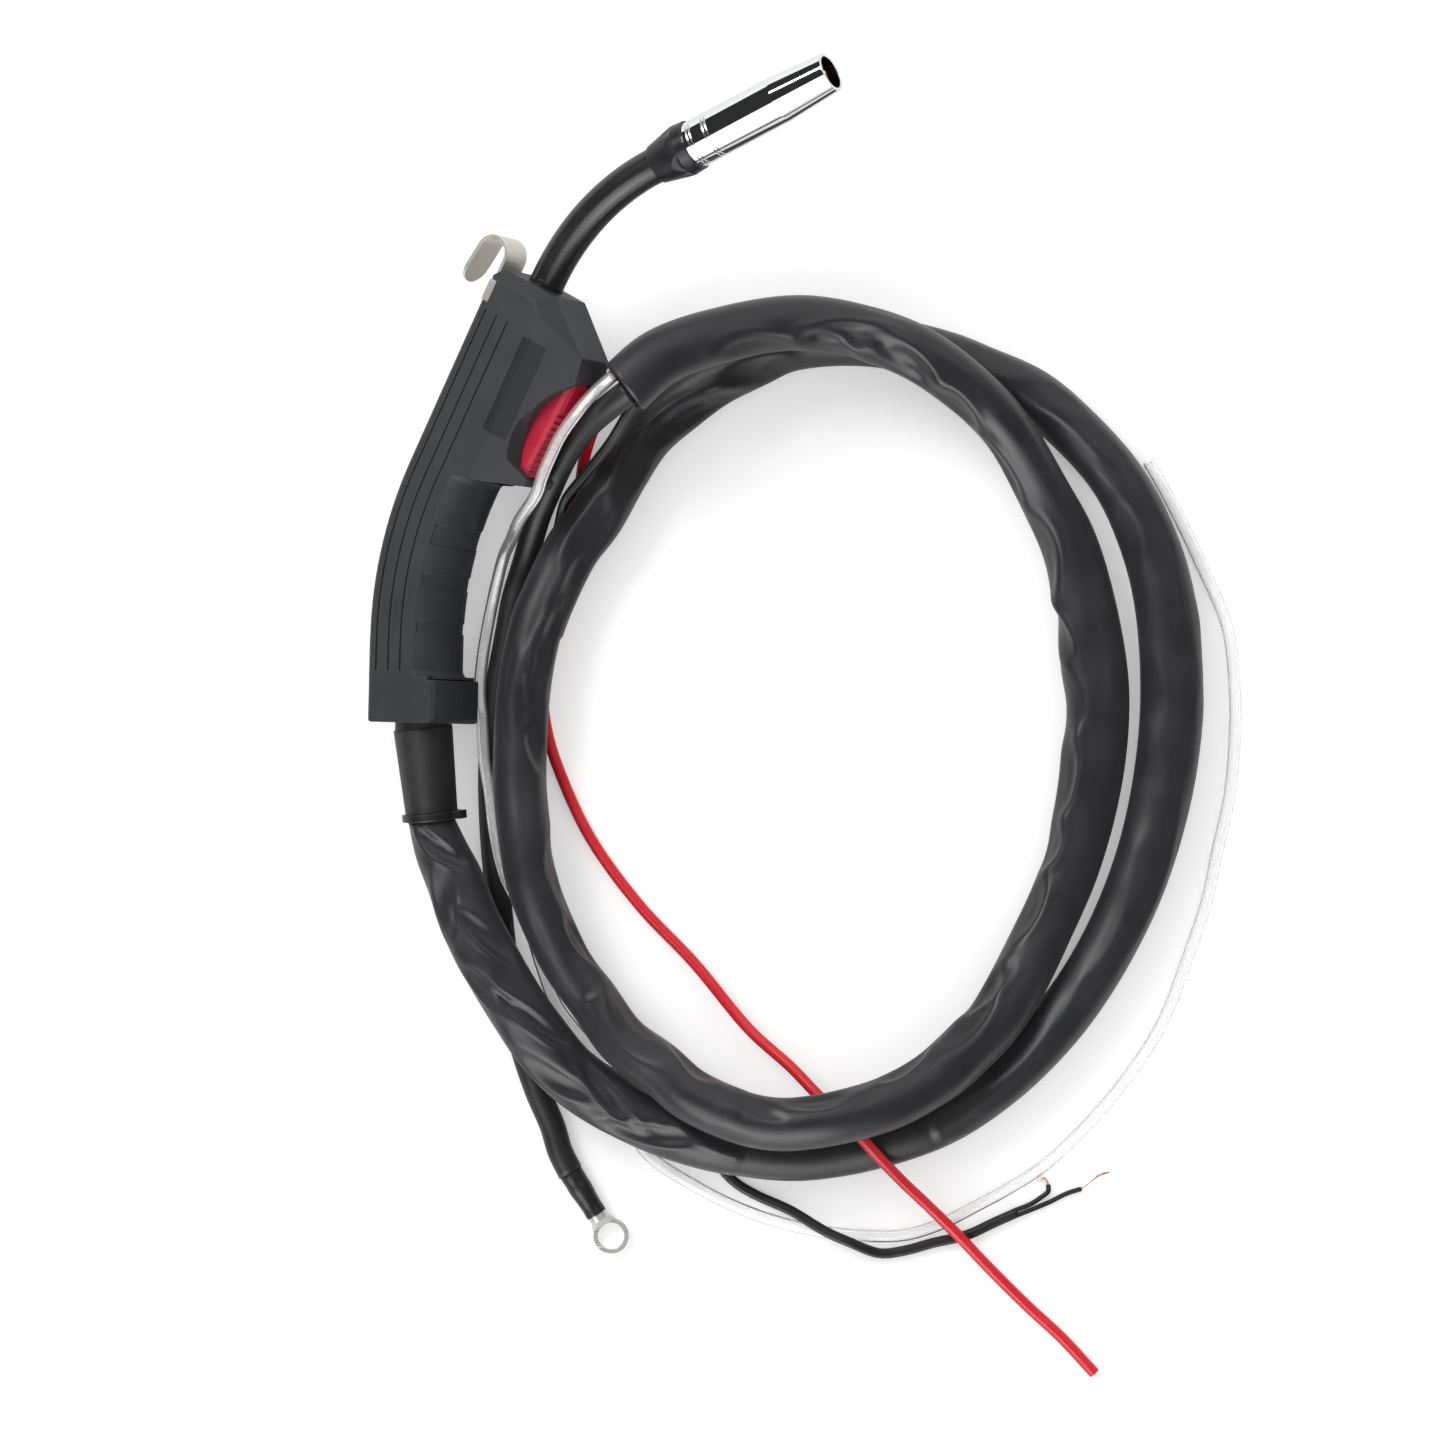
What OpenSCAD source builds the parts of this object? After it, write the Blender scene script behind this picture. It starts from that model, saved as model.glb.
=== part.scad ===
// Gas-cooled MIG welding torch with its cable, lying on a flat floor.
// The torch is built in its own frame: x from the spine of the handle to the trigger,
// y along the handle to the neck, z across the handle. It is then rolled onto its side.

/* [Handle] */
// Thickness of the handle across its two flat sides
handle_t = 33; // [32:0.5:36]
// Wall of the moulded shells
wall = 2.4; // [2:0.1:2.8]
// Radius of the long edges of the spine
edge_r = 3; // [2.6:0.1:3.6]
// Length of the straight lower part of the spine
lower_len = 32; // [30:1:40]
// Radius of the bend in the spine
bend_r = 150; // [140:1:170]
// Angle of the bend in the spine
bend = 27; // [22:0.5:30]
// Length of the straight head along the spine, up to the top chamfer
head_len = 77.6; // [77:0.2:84]
// Radius of the round lobe that the fingers hold
lobe_r = 19.7; // [19.2:0.1:20.6]
// Depth of the square base block from spine to front
base_d = 31; // [30.5:0.25:33]
// Height of the square base block
base_h = 18; // [17.5:0.25:20]
// Width of each groove along the flat sides
groove_w = 0.9; // [0.6:0.1:1.4]
// Depth of each groove along the flat sides
groove_depth = 0.6; // [0.3:0.1:0.9]
// Spacing of the grooves along the flat sides
groove_pitch = 5.5; // [4.5:0.25:6]

/* [Trigger] */
// Width of the trigger
trigger_w = 13; // [11:0.5:14]
// Angle that the trigger turns when it is pressed
trigger_travel = 4.5; // [3:0.25:4.5]
// Diameter of the trigger's hinge pin
pin_dia = 3; // [2.5:0.1:3.5]
// Number of finger ribs on the trigger
rib_count = 10; // [6:1:11]

/* [Neck] */
// Outside diameter of the insulated neck
jacket_dia = 13.5; // [12.5:0.25:14]
// Outside diameter of the copper tube in the neck
tube_dia = 10; // [9:0.25:10.5]
// Bore of the copper tube in the neck
tube_bore = 6.2; // [5.6:0.1:6.6]
// Radius of the neck's bend, on its axis
neck_r = 88; // [80:1:100]
// Angle that the neck turns through
neck_turn = 40.5; // [30:0.5:50]
// Length of the insulator between neck and nozzle
insulator_len = 16.8; // [15.5:0.2:20]
// Largest diameter of the insulator
insulator_dia = 20.2; // [19.6:0.2:22]

/* [Nozzle] */
// Outside diameter of the gas nozzle
nozzle_dia = 18; // [17.6:0.1:18.4]
// Outside diameter of the nozzle at its mouth
mouth_dia = 15; // [14.8:0.1:16]
// Length of the nozzle
nozzle_len = 62; // [60:0.5:70]
// Length of the nozzle's straight part
nozzle_straight = 40; // [38:0.5:44]
// Wall of the nozzle
nozzle_wall = 1.2; // [1:0.05:1.3]
// Diameter of the contact tip
tip_dia = 6; // [5.5:0.1:6.6]
// Bore for the welding wire
wire_bore = 1; // [0.6:0.1:1.6]
// How far the contact tip ends inside the nozzle's mouth
tip_recess = 2.5; // [0:0.5:4]

/* [Hook] */
// Width of the hanging hook's strip
hook_w = 14; // [10:0.5:18]
// Thickness of the hanging hook's strip
hook_t = 1.2; // [0.8:0.1:1.5]
// Radius of the hook's bend, on the strip's middle
hook_r = 6.5; // [5:0.25:9]
// Length of the hook's returning leg
hook_leg = 16.2; // [12:0.2:20]

/* [Cable] */
// Diameter of the protective sleeve over the cable bundle
sleeve_dia = 21; // [18:0.25:21]
// Diameter of the sleeve where it leaves the boot
sleeve_neck_dia = 17.4; // [16:0.2:19]
// Diameter of the free power lead
lead_dia = 10; // [8:0.25:10]
// Diameter of the clear gas hose
gas_hose_dia = 5; // [4:0.1:5]
// Diameter of the wire liner
liner_dia = 4.5; // [3.6:0.1:4.5]
// Diameter of the trigger's control cable
control_dia = 4; // [3:0.1:4]
// Diameter of each core of the control cable
core_dia = 1.9; // [1.2:0.1:1.9]
// Diameter of the boot at the handle
boot_dia = 22.8; // [22:0.1:23]
// Diameter of the boot at its lower end
boot_end_dia = 19.9; // [19.8:0.1:21]
// Length of the boot outside the handle
boot_len = 34.8; // [30:0.2:40]
// Bolt hole in the power lug
lug_hole = 10.4; // [8.4:0.1:10.6]
// Outside diameter of the power lug's ring
lug_dia = 13.8; // [13.4:0.1:16]
// Thickness of the power lug's ring
lug_t = 1.8; // [1.2:0.1:2.5]

/* [Fasteners] */
// Thread diameter of the screws that join the shells
screw_dia = 2.9; // [2.5:0.1:3.2]
// Head diameter of the screws that join the shells
screw_head = 5.5; // [5:0.1:5.8]

/* [Hidden] */
$fn = 64;

// Shared clearances
fit = 0.05;
gap = 0.3;
over = 1;
// A straight length runs this far into its bend, a hair fuller than the bend, so that they join
lap = 0.4;
hair = 0.05;

// How the torch lies on the floor
roll = 29;
lean = 1.5;
torch_x = -69.1;
torch_y = -102.5;
spine_back = 16;
half_t = handle_t / 2;
torch_z = hair + edge_r + (half_t - edge_r) * cos(roll) + (spine_back - edge_r) * sin(roll);
torch_at = [torch_x, torch_y, torch_z];

// The spine: straight, then an arc, then the straight head
arc_len = bend_r * bend * PI / 180;
head_s = lower_len + arc_len;
arc_centre = [bend_r - spine_back, lower_len, 0];
head_at = arc_centre + bend_r * [-cos(bend), sin(bend), 0];

// Grip section
lobe_c = 9.9;
inner_edge_r = 0.6;
base_front_chamfer = 1.5;
base_corner_r = 3;
base_fillet_r = 4;
band_depth = 0.4;
band_start = 12;
bands = [[35, 40], [55, 62], [75, 85]];

// Grooves along the flat sides
groove_count = 3;
groove_first = 4.6;
groove_from = base_h + 2;
groove_top = head_len - 11.6;

// Side view of the head: depth from the spine, height from the end of the arc
top_v = head_len + 4.7;
top_back_d = 2;
nose_top_d = 26.5;
nose_d = 48;
nose_v = head_len - 10.8;
brow_d = 49.4;
brow_v = head_len - 19.9;
flank_d = 28;
flank_slope = 0.33;
nose_half = half_t - flank_slope * (nose_d - flank_d);
pocket_at = [67.5, 33];
pocket_r = 29.5;
scoop_at = [62, 30];
scoop_r = 21.3;
scoop_slope = 0.347;
ledge_tip_d = 47.8;
ledge_tip_v = 16.16;
ledge_rise = 0.37;
ledge_floor = [[47.4, 13.1], [42.7, 11.6], [34, 8.2], [21, 4.5], [18, 0]];
chamfer_tilt = 48.5;
nose_tilt = [0, 41.9, 51.6];
grip_fillet_r = 5;
grip_fillet_v = 1.7;

// Notch, label recess and trigger window
notch_d = 3.8;
notch_v0 = head_len - 9.3;
notch_v1 = head_len - 0.3;
label_d = [24.7, 34.8];
label_v = [25.8, head_len - 13.3];
label_depth = 0.4;
window_v = [15.6, head_len - 20.1];
window_half = trigger_w / 2 + 0.4;

// Trigger side view, and its hinge
pivot = [42, head_len - 14.6];
pivot_boss_r = 3.6;
trigger_top_v = pivot.y - 6.4;
trigger_arm_v = pivot.y - 13;
trigger_face = [[16, 45], [pivot.y - 8.5, 47.2]];
trigger_back = 35.3;
// The trigger's edges are rounded in two steps: [in from the outline, in from the side]
trigger_edge = [[0, 2.4], [0.7, 0.7], [2.4, 0]];
flange_t = 2;
flange_v = [24, 44];
flange_half = 8.4;
rib_r = 0.8;
rib_v = [18, 42.5];
boss_z = [-trigger_w / 2, 4];
spring_wire = 0.7;
spring_turns = 2.25;

// Microswitch behind the trigger
switch_size = [10, 20, 6.4];
switch_at = [19, 22];
plunger_r = 1.5;
plunger_v = 32;
plunger_top = trigger_back - flange_t - gap - 0.3;
plunger_len = 7.8;
switch_hole_r = 1.1;
switch_holes = [[21.6, 26], [21.6, 38]];
post_r = 2.6;

// Neck and what it clamps to, measured along the head
neck_d = 14.3;
neck_v = top_v + 1.7;
block_v = [46, 64];
block_boss_v = 70;
block_boss_r = 7;
block_d = 10;
block_z = [-12.2, 9.4];
tube_start_v = 58;
rib_t = 2;
rib_d = 24;
jacket_r = jacket_dia / 2;
tube_r = tube_dia / 2;

// Along the nozzle's axis, from the end of the neck's bend
neck_straight = 2.4;
insulator_end = neck_straight + insulator_len;
seat_depth = 1.5;
tube_end = 12.4;
spigot_end = 33;
spigot_r = 6.5;
nozzle_z = insulator_end - seat_depth + gap;
mouth_z = nozzle_z + nozzle_len;
bore_r = nozzle_dia / 2 - nozzle_wall;
mouth_r = mouth_dia / 2 - nozzle_wall;
helix_z = 22;
helix_pitch = 2.2;
helix_turns = 4;
helix_wire = 0.8;
diffuser_r = 5.9;
diffuser_end = 47;
holder_end = 49.5;
plenum_end = 43;
gas_hole_z = 39;
gas_hole_r = 1;
gas_holes = 4;
shank_r = tip_dia / 2 - 0.3;
tip_end = mouth_z - tip_recess;
tip_taper = 6;

// Hook, seen from the side of the head
foot_d = notch_d - hook_t;
foot_v0 = notch_v0 + gap;
foot_v1 = notch_v1 - gap;
foot_half = half_t - 0.7;
leg_d = -2.5 - hook_t;
hook_top_v = head_len + 6.7;
leg_tilt = 9.1;
ear_d = 0.2;
hook_screw_z = 10.5;
hook_screw_r = 1.25;
hook_screw_head_r = 2.2;
hook_screw_len = 3.4;

// Screws that join the shells: distance along the spine, and depth
screw_places = [[lower_len - 10, 6.5], [lower_len + 34, 6.5], [head_s + 30, 6.5],
    [head_s + head_len - 5.6, 29.5], [head_s + 11, 29]];
boss_r = 3.25;
screw_end = 8;
screw_seat = 2.6;
screw_head_t = 1.8;

// Boot, collar and the bundle inside them: [across, across, radius]
boot_yaw = 5.6;
boot_pitch = 2.7;
boot_pivot = 3;
boot_lap = 1.2;
plug_r = boot_dia / 2 - 0.5;
plug_end = 9;
plug_bore_r = 9;
boot_bore_r = 8.1;
boot_flange = [4.4, 6.4];
boot_flange_r = plug_r + 0.9;
collar_y = [9.3, 13.8];
collar_r = 10.6;
power_lane = [0, -3.8, 4];
gas_lane = [-2.9, 4.3, 2.5];
liner_lane = [3.7, 3.4, 2.25];
wires_lane = [6.1, -1.2, 1.4];
lanes = [power_lane, gas_lane, liner_lane, wires_lane];
power_end_z = -7.5;
gas_end_z = 6;
clip_v = [37, 42];
tie_w = 2.6;
tie_t = 1.4;
tie_z = boot_len - 3;
tie_head = [5.2, 4.4, 4];

// Free cords: points on their axes, above the floor
sleeve_route = [[-62, -152, 19], [-57, -163, 19.5], [-50, -181, 21], [-41, -198, 22.5],
    [-28, -219, 22], [-12, -239, 19], [14, -255, 17.5], [41, -265, 16], [70, -270, 12.5],
    [90, -269, 11], [109, -265, 11], [129, -258, 11], [149, -246, 11], [169, -228, 11],
    [191, -199, 11], [208, -164, 11], [217, -131, 11], [221, -94, 11], [218, -54, 11],
    [210, -27, 11], [199, -6, 11], [180, 15, 11], [166, 26, 11], [148, 34, 11], [133, 40, 11],
    [104, 46, 11], [73, 44, 11], [59, 38, 11], [43, 30, 11], [30, 21, 11], [17, 10, 12],
    [7, -5, 15], [-3, -23, 17], [-12, -35, 17.5], [-21, -53, 17.5], [-26, -66, 17.5],
    [-29, -79, 17.5], [-31, -94, 17.5], [-32, -113, 17.5], [-32, -128, 18.5], [-30, -146, 21],
    [-27, -163, 21.5], [-20, -182, 20.5], [-13, -196, 20], [-3, -210, 21], [8, -225, 24.5],
    [22, -235, 28.5], [34, -245, 32], [55, -254, 35], [69, -256, 37], [80, -255, 38],
    [91, -253, 38], [109, -248, 35], [123, -241, 31], [136, -232, 26], [154, -213, 20],
    [172, -181, 12], [182, -158, 11], [189, -129, 11], [192, -101, 11], [191, -79, 11],
    [181, -34, 11], [171, -14, 15.5], [156, 10, 24], [141, 25, 30.5], [121, 39, 34],
    [103, 45.8, 36.5], [75.8, 50, 42], [44, 44, 49], [22.5, 35.1, 55], [9.5, 23.5, 58]];
sleeve_swell = 3;
mouth_at = [9.5, 23.5, 58];
mouth_turn = 218.5;
lead_in_mouth = [2.4, 3.2];
hose_in_mouth = [-6, 2.5];
control_in_mouth = [6.2, -4.4];
liner_in_mouth = [-0.6, -6.5];
lead_route = [[3.4, 16.6, 54], [-3.4, 11.8, 46.5], [-9.9, 5.5, 38], [-15.9, -3.3, 28],
    [-21, -13, 19], [-25.8, -23.5, 11.5], [-30.5, -39, 5.8], [-35, -54, 5.2], [-38, -70, 5.2], [-41, -86, 5.2], [-43, -101, 5.2],
    [-44, -117, 5.2], [-44, -133, 5.2], [-43, -152, 5.2], [-41, -172, 5.2], [-39, -191, 5.2],
    [-36, -211, 5.2], [-32, -228, 5.2], [-26, -246, 5.2], [-20, -260, 5.2], [-17, -270, 5.2],
    [-13, -278, 5.2]];
hose_route = [[-3.4, 20.2, 57.5], [-9.8, 12.7, 55], [-14.9, 5.5, 53.5], [-18.3, -1.4, 53],
    [-21.7, -9.3, 52.5], [-24, -15.8, 49.5], [-31.2, -25.4, 38.5], [-34.8, -32.2, 29],
    [-38.2, -38.4, 21], [-42.3, -51.9, 11], [-45.4, -65.6, 6.5], [-47, -76, 8], [-48, -90, 10.5],
    [-47, -101, 12], [-46, -117, 12.8], [-44, -129, 13], [-42, -145, 13.2], [-38, -162, 13],
    [-30, -179, 7.5], [-25, -196, 2.8], [-19, -212, 2.7], [-11, -223, 2.7], [0, -235, 2.7],
    [6, -250, 2.7], [16, -270, 2.7], [38, -285, 2.7], [57, -294, 2.7], [77, -300, 2.7],
    [99, -303, 2.7], [117, -303, 2.7], [131, -299, 2.7], [145, -292, 2.7], [158, -285, 2.7],
    [172, -276, 2.7], [188, -261, 2.7], [202, -245, 2.7], [218, -221, 2.7], [229, -193, 2.7],
    [236, -172, 2.7], [240, -153, 2.7], [245, -130, 2.7], [247, -106, 2.7], [247, -90, 2.7],
    [244, -65, 2.7], [234, -41, 2.7], [221, -14, 2.7], [213, 0, 2.7]];
liner_route = [[3, 18.5, 44], [-2, 12, 34], [-5, 6, 24], [-7.5, -1, 14], [-9, -8, 7],
    [-11, -14, 3.2], [-13, -23, 2.5],
    [-15, -37, 2.5], [-18, -54, 2.5], [-22, -70, 2.5], [-24, -90, 2.5], [-22, -107, 2.5],
    [-16, -125, 2.5], [-5, -148, 2.5], [14, -174, 2.5], [35, -196, 4], [57, -222, 10],
    [73, -236, 16], [84, -247, 21], [94, -256, 24.5], [104, -267, 24.5], [115, -279, 18],
    [127, -291, 11], [137, -301, 8.2], [151, -316, 4], [166, -331, 2.5], [179, -343, 2.5],
    [192, -357, 2.5]];
control_route = [[9.5, 13, 48], [4.5, 5.5, 41], [-1, -1, 33.5], [-7.5, -8, 25], [-14.6, -16.5, 16],
    [-16.9, -24, 10.5], [-18.6, -31, 6.5], [-20, -36, 4.8], [-23, -48, 2.3], [-27, -68, 2.3], [-32, -86, 2.3], [-34, -109, 2.3],
    [-33, -133, 2.3], [-31, -156, 2.3], [-26, -176, 2.3], [-20, -193, 2.3], [-11, -209, 2.3],
    [-2, -223, 2.3], [14, -238, 2.3], [30, -256, 2.3], [42, -272, 2.3], [51, -282, 2.3],
    [59, -287, 2.3], [73, -293, 5], [87, -301, 8], [96, -305, 7.8], [108, -310, 3],
    [118, -309, 2.3], [129, -306, 2.3], [142, -303, 2.3], [153, -298, 2.3], [162, -294, 2.3]];
control_turn = 23;
core_side = 1.05;
core_a_route = [[167, -291, 1.6], [171, -288.5, 1.2], [174, -286, 1.2], [174, -283.5, 1.5]];
core_b_route = [[169, -292.5, 1.6], [175, -290, 1.2], [181, -287, 1.2], [187, -285, 1.2]];
strand_r = 0.25;
strands_a = [[[173, -282, 1.6], [171.5, -281.6, 1.3], [170, -281.3, 0.8]],
    [[173.5, -281.5, 1.8], [172.5, -280.6, 1.6], [171.8, -280.2, 1.2]]];
strands_b = [[[190, -282.5, 1.4], [194, -279.5, 1.2], [199, -278, 0.8]],
    [[189.5, -283.5, 1], [192.5, -281, 0.8], [195, -279, 0.5]]];

// Power lug at the end of the lead
lug_turn = 32;
shrink_r = 4.6;
shrink_len = 19;
barrel_r = 3.7;
barrel_in = 8;
barrel_out = 2.5;
lug_reach = 10.5;

// ---------- Places as functions ----------

// A point on the handle: s along the spine, d in from the spine, z across
function on_spine(s, d, z) =
    let (a = (s - lower_len) / bend_r * 180 / PI, v = s - head_s)
    s < lower_len ? [d - spine_back, s, z]
    : s < head_s ? [arc_centre.x - (bend_r - d) * cos(a), arc_centre.y + (bend_r - d) * sin(a), z]
    : [head_at.x + d * cos(bend) + v * sin(bend), head_at.y - d * sin(bend) + v * cos(bend), z];

function turned(p, axis, angle) =
    axis == "x" ? [p.x, p.y * cos(angle) - p.z * sin(angle), p.y * sin(angle) + p.z * cos(angle)]
    : axis == "y" ? [p.x * cos(angle) + p.z * sin(angle), p.y, p.z * cos(angle) - p.x * sin(angle)]
    : [p.x * cos(angle) - p.y * sin(angle), p.x * sin(angle) + p.y * cos(angle), p.z];

function from_torch(p) = torch_at + turned(turned(p, "y", -roll), "z", -lean);

boot_at = from_torch([0, -boot_pivot, 0]);

function from_boot(p) =
    boot_at + turned(turned(turned(p, "y", -roll), "x", boot_pitch), "z", boot_yaw);

boot_out = from_boot([0, -1, 0]) - boot_at;
sleeve_start = boot_at + boot_out * (boot_len + gap);
sleeve_path = concat([sleeve_start], sleeve_route);

mouth_out = [cos(mouth_turn), sin(mouth_turn), 0];
mouth_side = [-mouth_out.y, mouth_out.x, 0];

// A cord's start on the sleeve's mouth: its place to the side and above the middle
function in_mouth(place) = mouth_at + gap * mouth_out + [0, 0, place[1]] + place[0] * mouth_side;

// ---------- Swept tubes ----------

function unit(v) = v / norm(v);

function heading(path, i, first, last) =
    i == 0 && norm(first) > 0 ? first
    : i == len(path) - 1 && norm(last) > 0 ? last
    : unit(path[min(i + 1, len(path) - 1)] - path[max(i - 1, 0)]);

function ring_point(centre, forward, radius, angle) =
    let (side = unit(cross(forward, [0, 0, 1])), up = cross(side, forward))
    centre + radius * (cos(angle) * side + sin(angle) * up);

// One closed tube through the points of a path; radius is a number or one for each point
module tube(path, radius, sides = 8, first = [0, 0, 0], last = [0, 0, 0]) {
    ends = len(path) - 1;
    size = is_list(radius) ? radius : [for (p = path) radius];
    rings = [for (i = [0:ends], k = [0:sides - 1])
        ring_point(path[i], heading(path, i, first, last), size[i], 360 * (k + 0.5) / sides)];
    skin = [for (i = [0:ends - 1], k = [0:sides - 1])
        let (a = i * sides + k, b = i * sides + (k + 1) % sides)
        each [[a, b, b + sides], [a, b + sides, a + sides]]];
    caps = [for (k = [1:sides - 2]) each [[0, k + 1, k],
        [ends * sides, ends * sides + k, ends * sides + k + 1]]];
    polyhedron(rings, concat(skin, caps));
}

// The sleeve's radius grows from the boot over its first points
function sleeve_radius(i) =
    let (start = sleeve_neck_dia / 2, full = sleeve_dia / 2)
    start + (full - start) * min(1, i / sleeve_swell);

// Least gap between parts of the sleeve that aren't neighbours along it
function halves(path) = [for (i = [0:len(path) - 2]) each [path[i], (path[i] + path[i + 1]) / 2]];
sleeve_probe = halves(sleeve_path);
sleeve_gap = min([for (i = [0:len(sleeve_probe) - 1], j = [i + 7:1:len(sleeve_probe) - 1])
    norm(sleeve_probe[i] - sleeve_probe[j])]) - sleeve_dia;
echo(sleeve_gap_mm = sleeve_gap);

// ---------- Frames ----------

module torch() {
    translate(torch_at) rotate([0, 0, -lean]) rotate([0, -roll, 0]) children();
}

module head() {
    translate(arc_centre) rotate([0, 0, -bend]) translate([-bend_r, 0, 0]) children();
}

module neck_axis() {
    head() translate([neck_d, 0, 0]) rotate([-90, 0, 0]) children();
}

module nozzle_axis() {
    head() translate([neck_d + neck_r, neck_v, 0]) rotate([0, 0, -neck_turn])
        translate([-neck_r, 0, 0]) rotate([-90, 0, 0]) children();
}

module boot_axis() {
    translate(boot_at) rotate([0, 0, boot_yaw]) rotate([boot_pitch, 0, 0])
        rotate([0, -roll, 0]) rotate([90, 0, 0]) children();
}

// A flat outline of [depth, across] drawn along the handle from y0 to y1
module drawn(y0, y1) {
    translate([0, y1, 0]) rotate([90, 0, 0]) linear_extrude(y1 - y0) children();
}

// ---------- Handle shells ----------

// Spine edge and flat side, from the middle plane outward; w is the inset of an inner wall
module spine_section(w, depth) {
    r = max(edge_r - w, inner_edge_r);
    translate([w, 0]) square([depth - w, half_t - w - r]);
    translate([w + r, 0]) square([depth - w - r, half_t - w]);
    translate([w + r, half_t - w - r]) circle(r);
}

module grip_section(w) {
    spine_section(w, lobe_c + 4);
    intersection() {
        translate([lobe_c, 0]) circle(lobe_r - w);
        translate([lobe_c, 0]) square([lobe_r, half_t - w]);
    }
}

module base_section(w) {
    spine_section(w, lobe_c + 4);
    translate([lobe_c, 0]) polygon([[0, 0], [base_d - w - lobe_c, 0],
        [base_d - w - lobe_c, half_t - w - base_front_chamfer],
        [base_d - w - lobe_c - base_front_chamfer, half_t - w], [0, half_t - w]]);
}

// Side view of the base block with its rounded lower corners
module base_outline(w) {
    r = base_corner_r;
    translate([w, w + r]) square([base_d - 2 * w, base_h - 2 * w - r - base_front_chamfer]);
    translate([w + r, w]) square([base_d - 2 * w - 2 * r, base_h - 2 * w]);
    translate([w, base_h / 2]) square([base_d / 2, base_h / 2 - w]);
    translate([w + r, w + r]) circle(r);
    translate([base_d - w - r, w + r]) circle(r);
}

module base_block(w) {
    translate([-spine_back, 0, 0]) intersection() {
        drawn(0, base_h) base_section(w);
        linear_extrude(half_t) base_outline(w);
    }
}

// Concave fillet between the lobe and a block that it stands on
module lobe_fillet(r, v) {
    translate([lobe_c, v, 0]) rotate([-90, 0, 0]) rotate_extrude() difference() {
        translate([lobe_r - 1, 0]) square([r + 1, r]);
        translate([lobe_r + r, r]) circle(r);
    }
}

module head_envelope(w) {
    spine_section(w, lobe_c + 4);
    polygon([[lobe_c, 0], [lobe_c, half_t - w], [flank_d, half_t - w],
        [flank_d + 30, half_t - w - 30 * flank_slope], [flank_d + 30, 0]]);
}

module above_ledge() {
    polygon([[ledge_tip_d, ledge_tip_v], [ledge_tip_d - 25, ledge_tip_v + 25 * ledge_rise],
        [ledge_tip_d - 25, 90], [120, 90], [120, ledge_tip_v]]);
}

module head_outline(w) {
    difference() {
        polygon(concat([[w, 0], [w, head_len], [top_back_d + w, top_v - w],
            [nose_top_d - w * 0.3, top_v - w], [nose_d - w, nose_v - w * 0.6],
            [brow_d - w, brow_v]], w == 0 ? [[ledge_tip_d, 33], [ledge_tip_d, ledge_tip_v]] : [],
            w == 0 ? ledge_floor : [[brow_d - w, 33], [37.5, 17], [32, 10.8], [21, 7.4], [18 - w, 0]]));
        intersection() {
            translate(pocket_at) circle(pocket_r + w);
            if (w == 0) above_ledge();
        }
    }
}

// Everything beyond a plane through a point; the plane moves in by w
module beyond(point, tilt, w) {
    translate(point) rotate(tilt) translate([-80, -80, -w]) cube([160, 160, 60]);
}

// The scooped sides of the trigger pocket
module side_scoop(w) {
    intersection() {
        translate([scoop_at.x, scoop_at.y, 0])
            cylinder(h = half_t + over, r1 = scoop_r + w, r2 = scoop_r + w + scoop_slope * (half_t + over));
        linear_extrude(half_t + over) above_ledge();
    }
}

module head_block(w) {
    head() difference() {
        union() {
            intersection() {
                linear_extrude(half_t - w) head_outline(w);
                drawn(-over, top_v) head_envelope(w);
            }
            drawn(0, 12) grip_section(w);
        }
        beyond([0, head_len, half_t], [0, chamfer_tilt, 90], w);
        beyond([nose_d, nose_v, nose_half], nose_tilt, w);
        side_scoop(w);
    }
}

// One half of the handle as a closed solid, or its hollow when w is the wall
module handle_half(w) {
    base_block(w);
    translate([-spine_back, 0, 0]) drawn(base_h - w - 1, lower_len + lap) grip_section(w - hair);
    translate(arc_centre) rotate([0, 0, 180 - bend]) rotate_extrude(angle = bend)
        translate([bend_r, 0]) mirror([1, 0]) grip_section(w);
    head_block(w);
}

module lobe_fillets() {
    translate([-spine_back, 0, 0]) intersection() {
        lobe_fillet(base_fillet_r, base_h - over);
        drawn(0, base_h + base_fillet_r) base_section(0);
    }
    head() intersection() {
        mirror([0, 1, 0]) lobe_fillet(grip_fillet_r, -grip_fillet_v - grip_fillet_r - over);
        drawn(0, 12) head_envelope(0);
    }
}

module grooves() {
    for (k = [0:groove_count - 1]) {
        d = groove_first + k * groove_pitch - groove_w / 2;
        translate([d - spine_back - hair, groove_from, half_t - groove_depth])
            cube([groove_w + 2 * hair, lower_len + lap - groove_from, over * 2]);
        translate(arc_centre) rotate([0, 0, 180 - bend]) rotate_extrude(angle = bend)
            translate([bend_r - d - groove_w, half_t - groove_depth]) square([groove_w, over * 2]);
        head() translate([d, 0, half_t - groove_depth]) cube([groove_w, groove_top, over * 2]);
    }
}

// Shallow bands round the lobe where the fingers lie
module finger_bands() {
    for (b = bands) {
        a0 = (b[0] - lower_len) / bend_r * 180 / PI;
        a1 = (b[1] - lower_len) / bend_r * 180 / PI;
        translate(arc_centre) rotate([0, 0, 180 - a1]) rotate_extrude(angle = a1 - a0)
            intersection() {
                translate([bend_r - lobe_c, 0]) difference() {
                    circle(lobe_r + 2);
                    circle(lobe_r - band_depth);
                }
                translate([bend_r - lobe_c - lobe_r - 2, 0]) square([lobe_r + 2 - band_start, half_t]);
            }
    }
}

module screw_columns(r, z0, z1) {
    for (p = screw_places) translate(on_spine(p[0], p[1], z0)) cylinder(h = z1 - z0, r = r);
}

// A rib across one shell, between two heights on the head
module head_rib(v0, v1) {
    head() translate([0, v0, 0]) cube([rib_d, v1 - v0, half_t]);
}

module base_rib(y0, y1) {
    translate([-spine_back, y0, 0]) cube([base_d, y1 - y0, half_t]);
}

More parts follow.
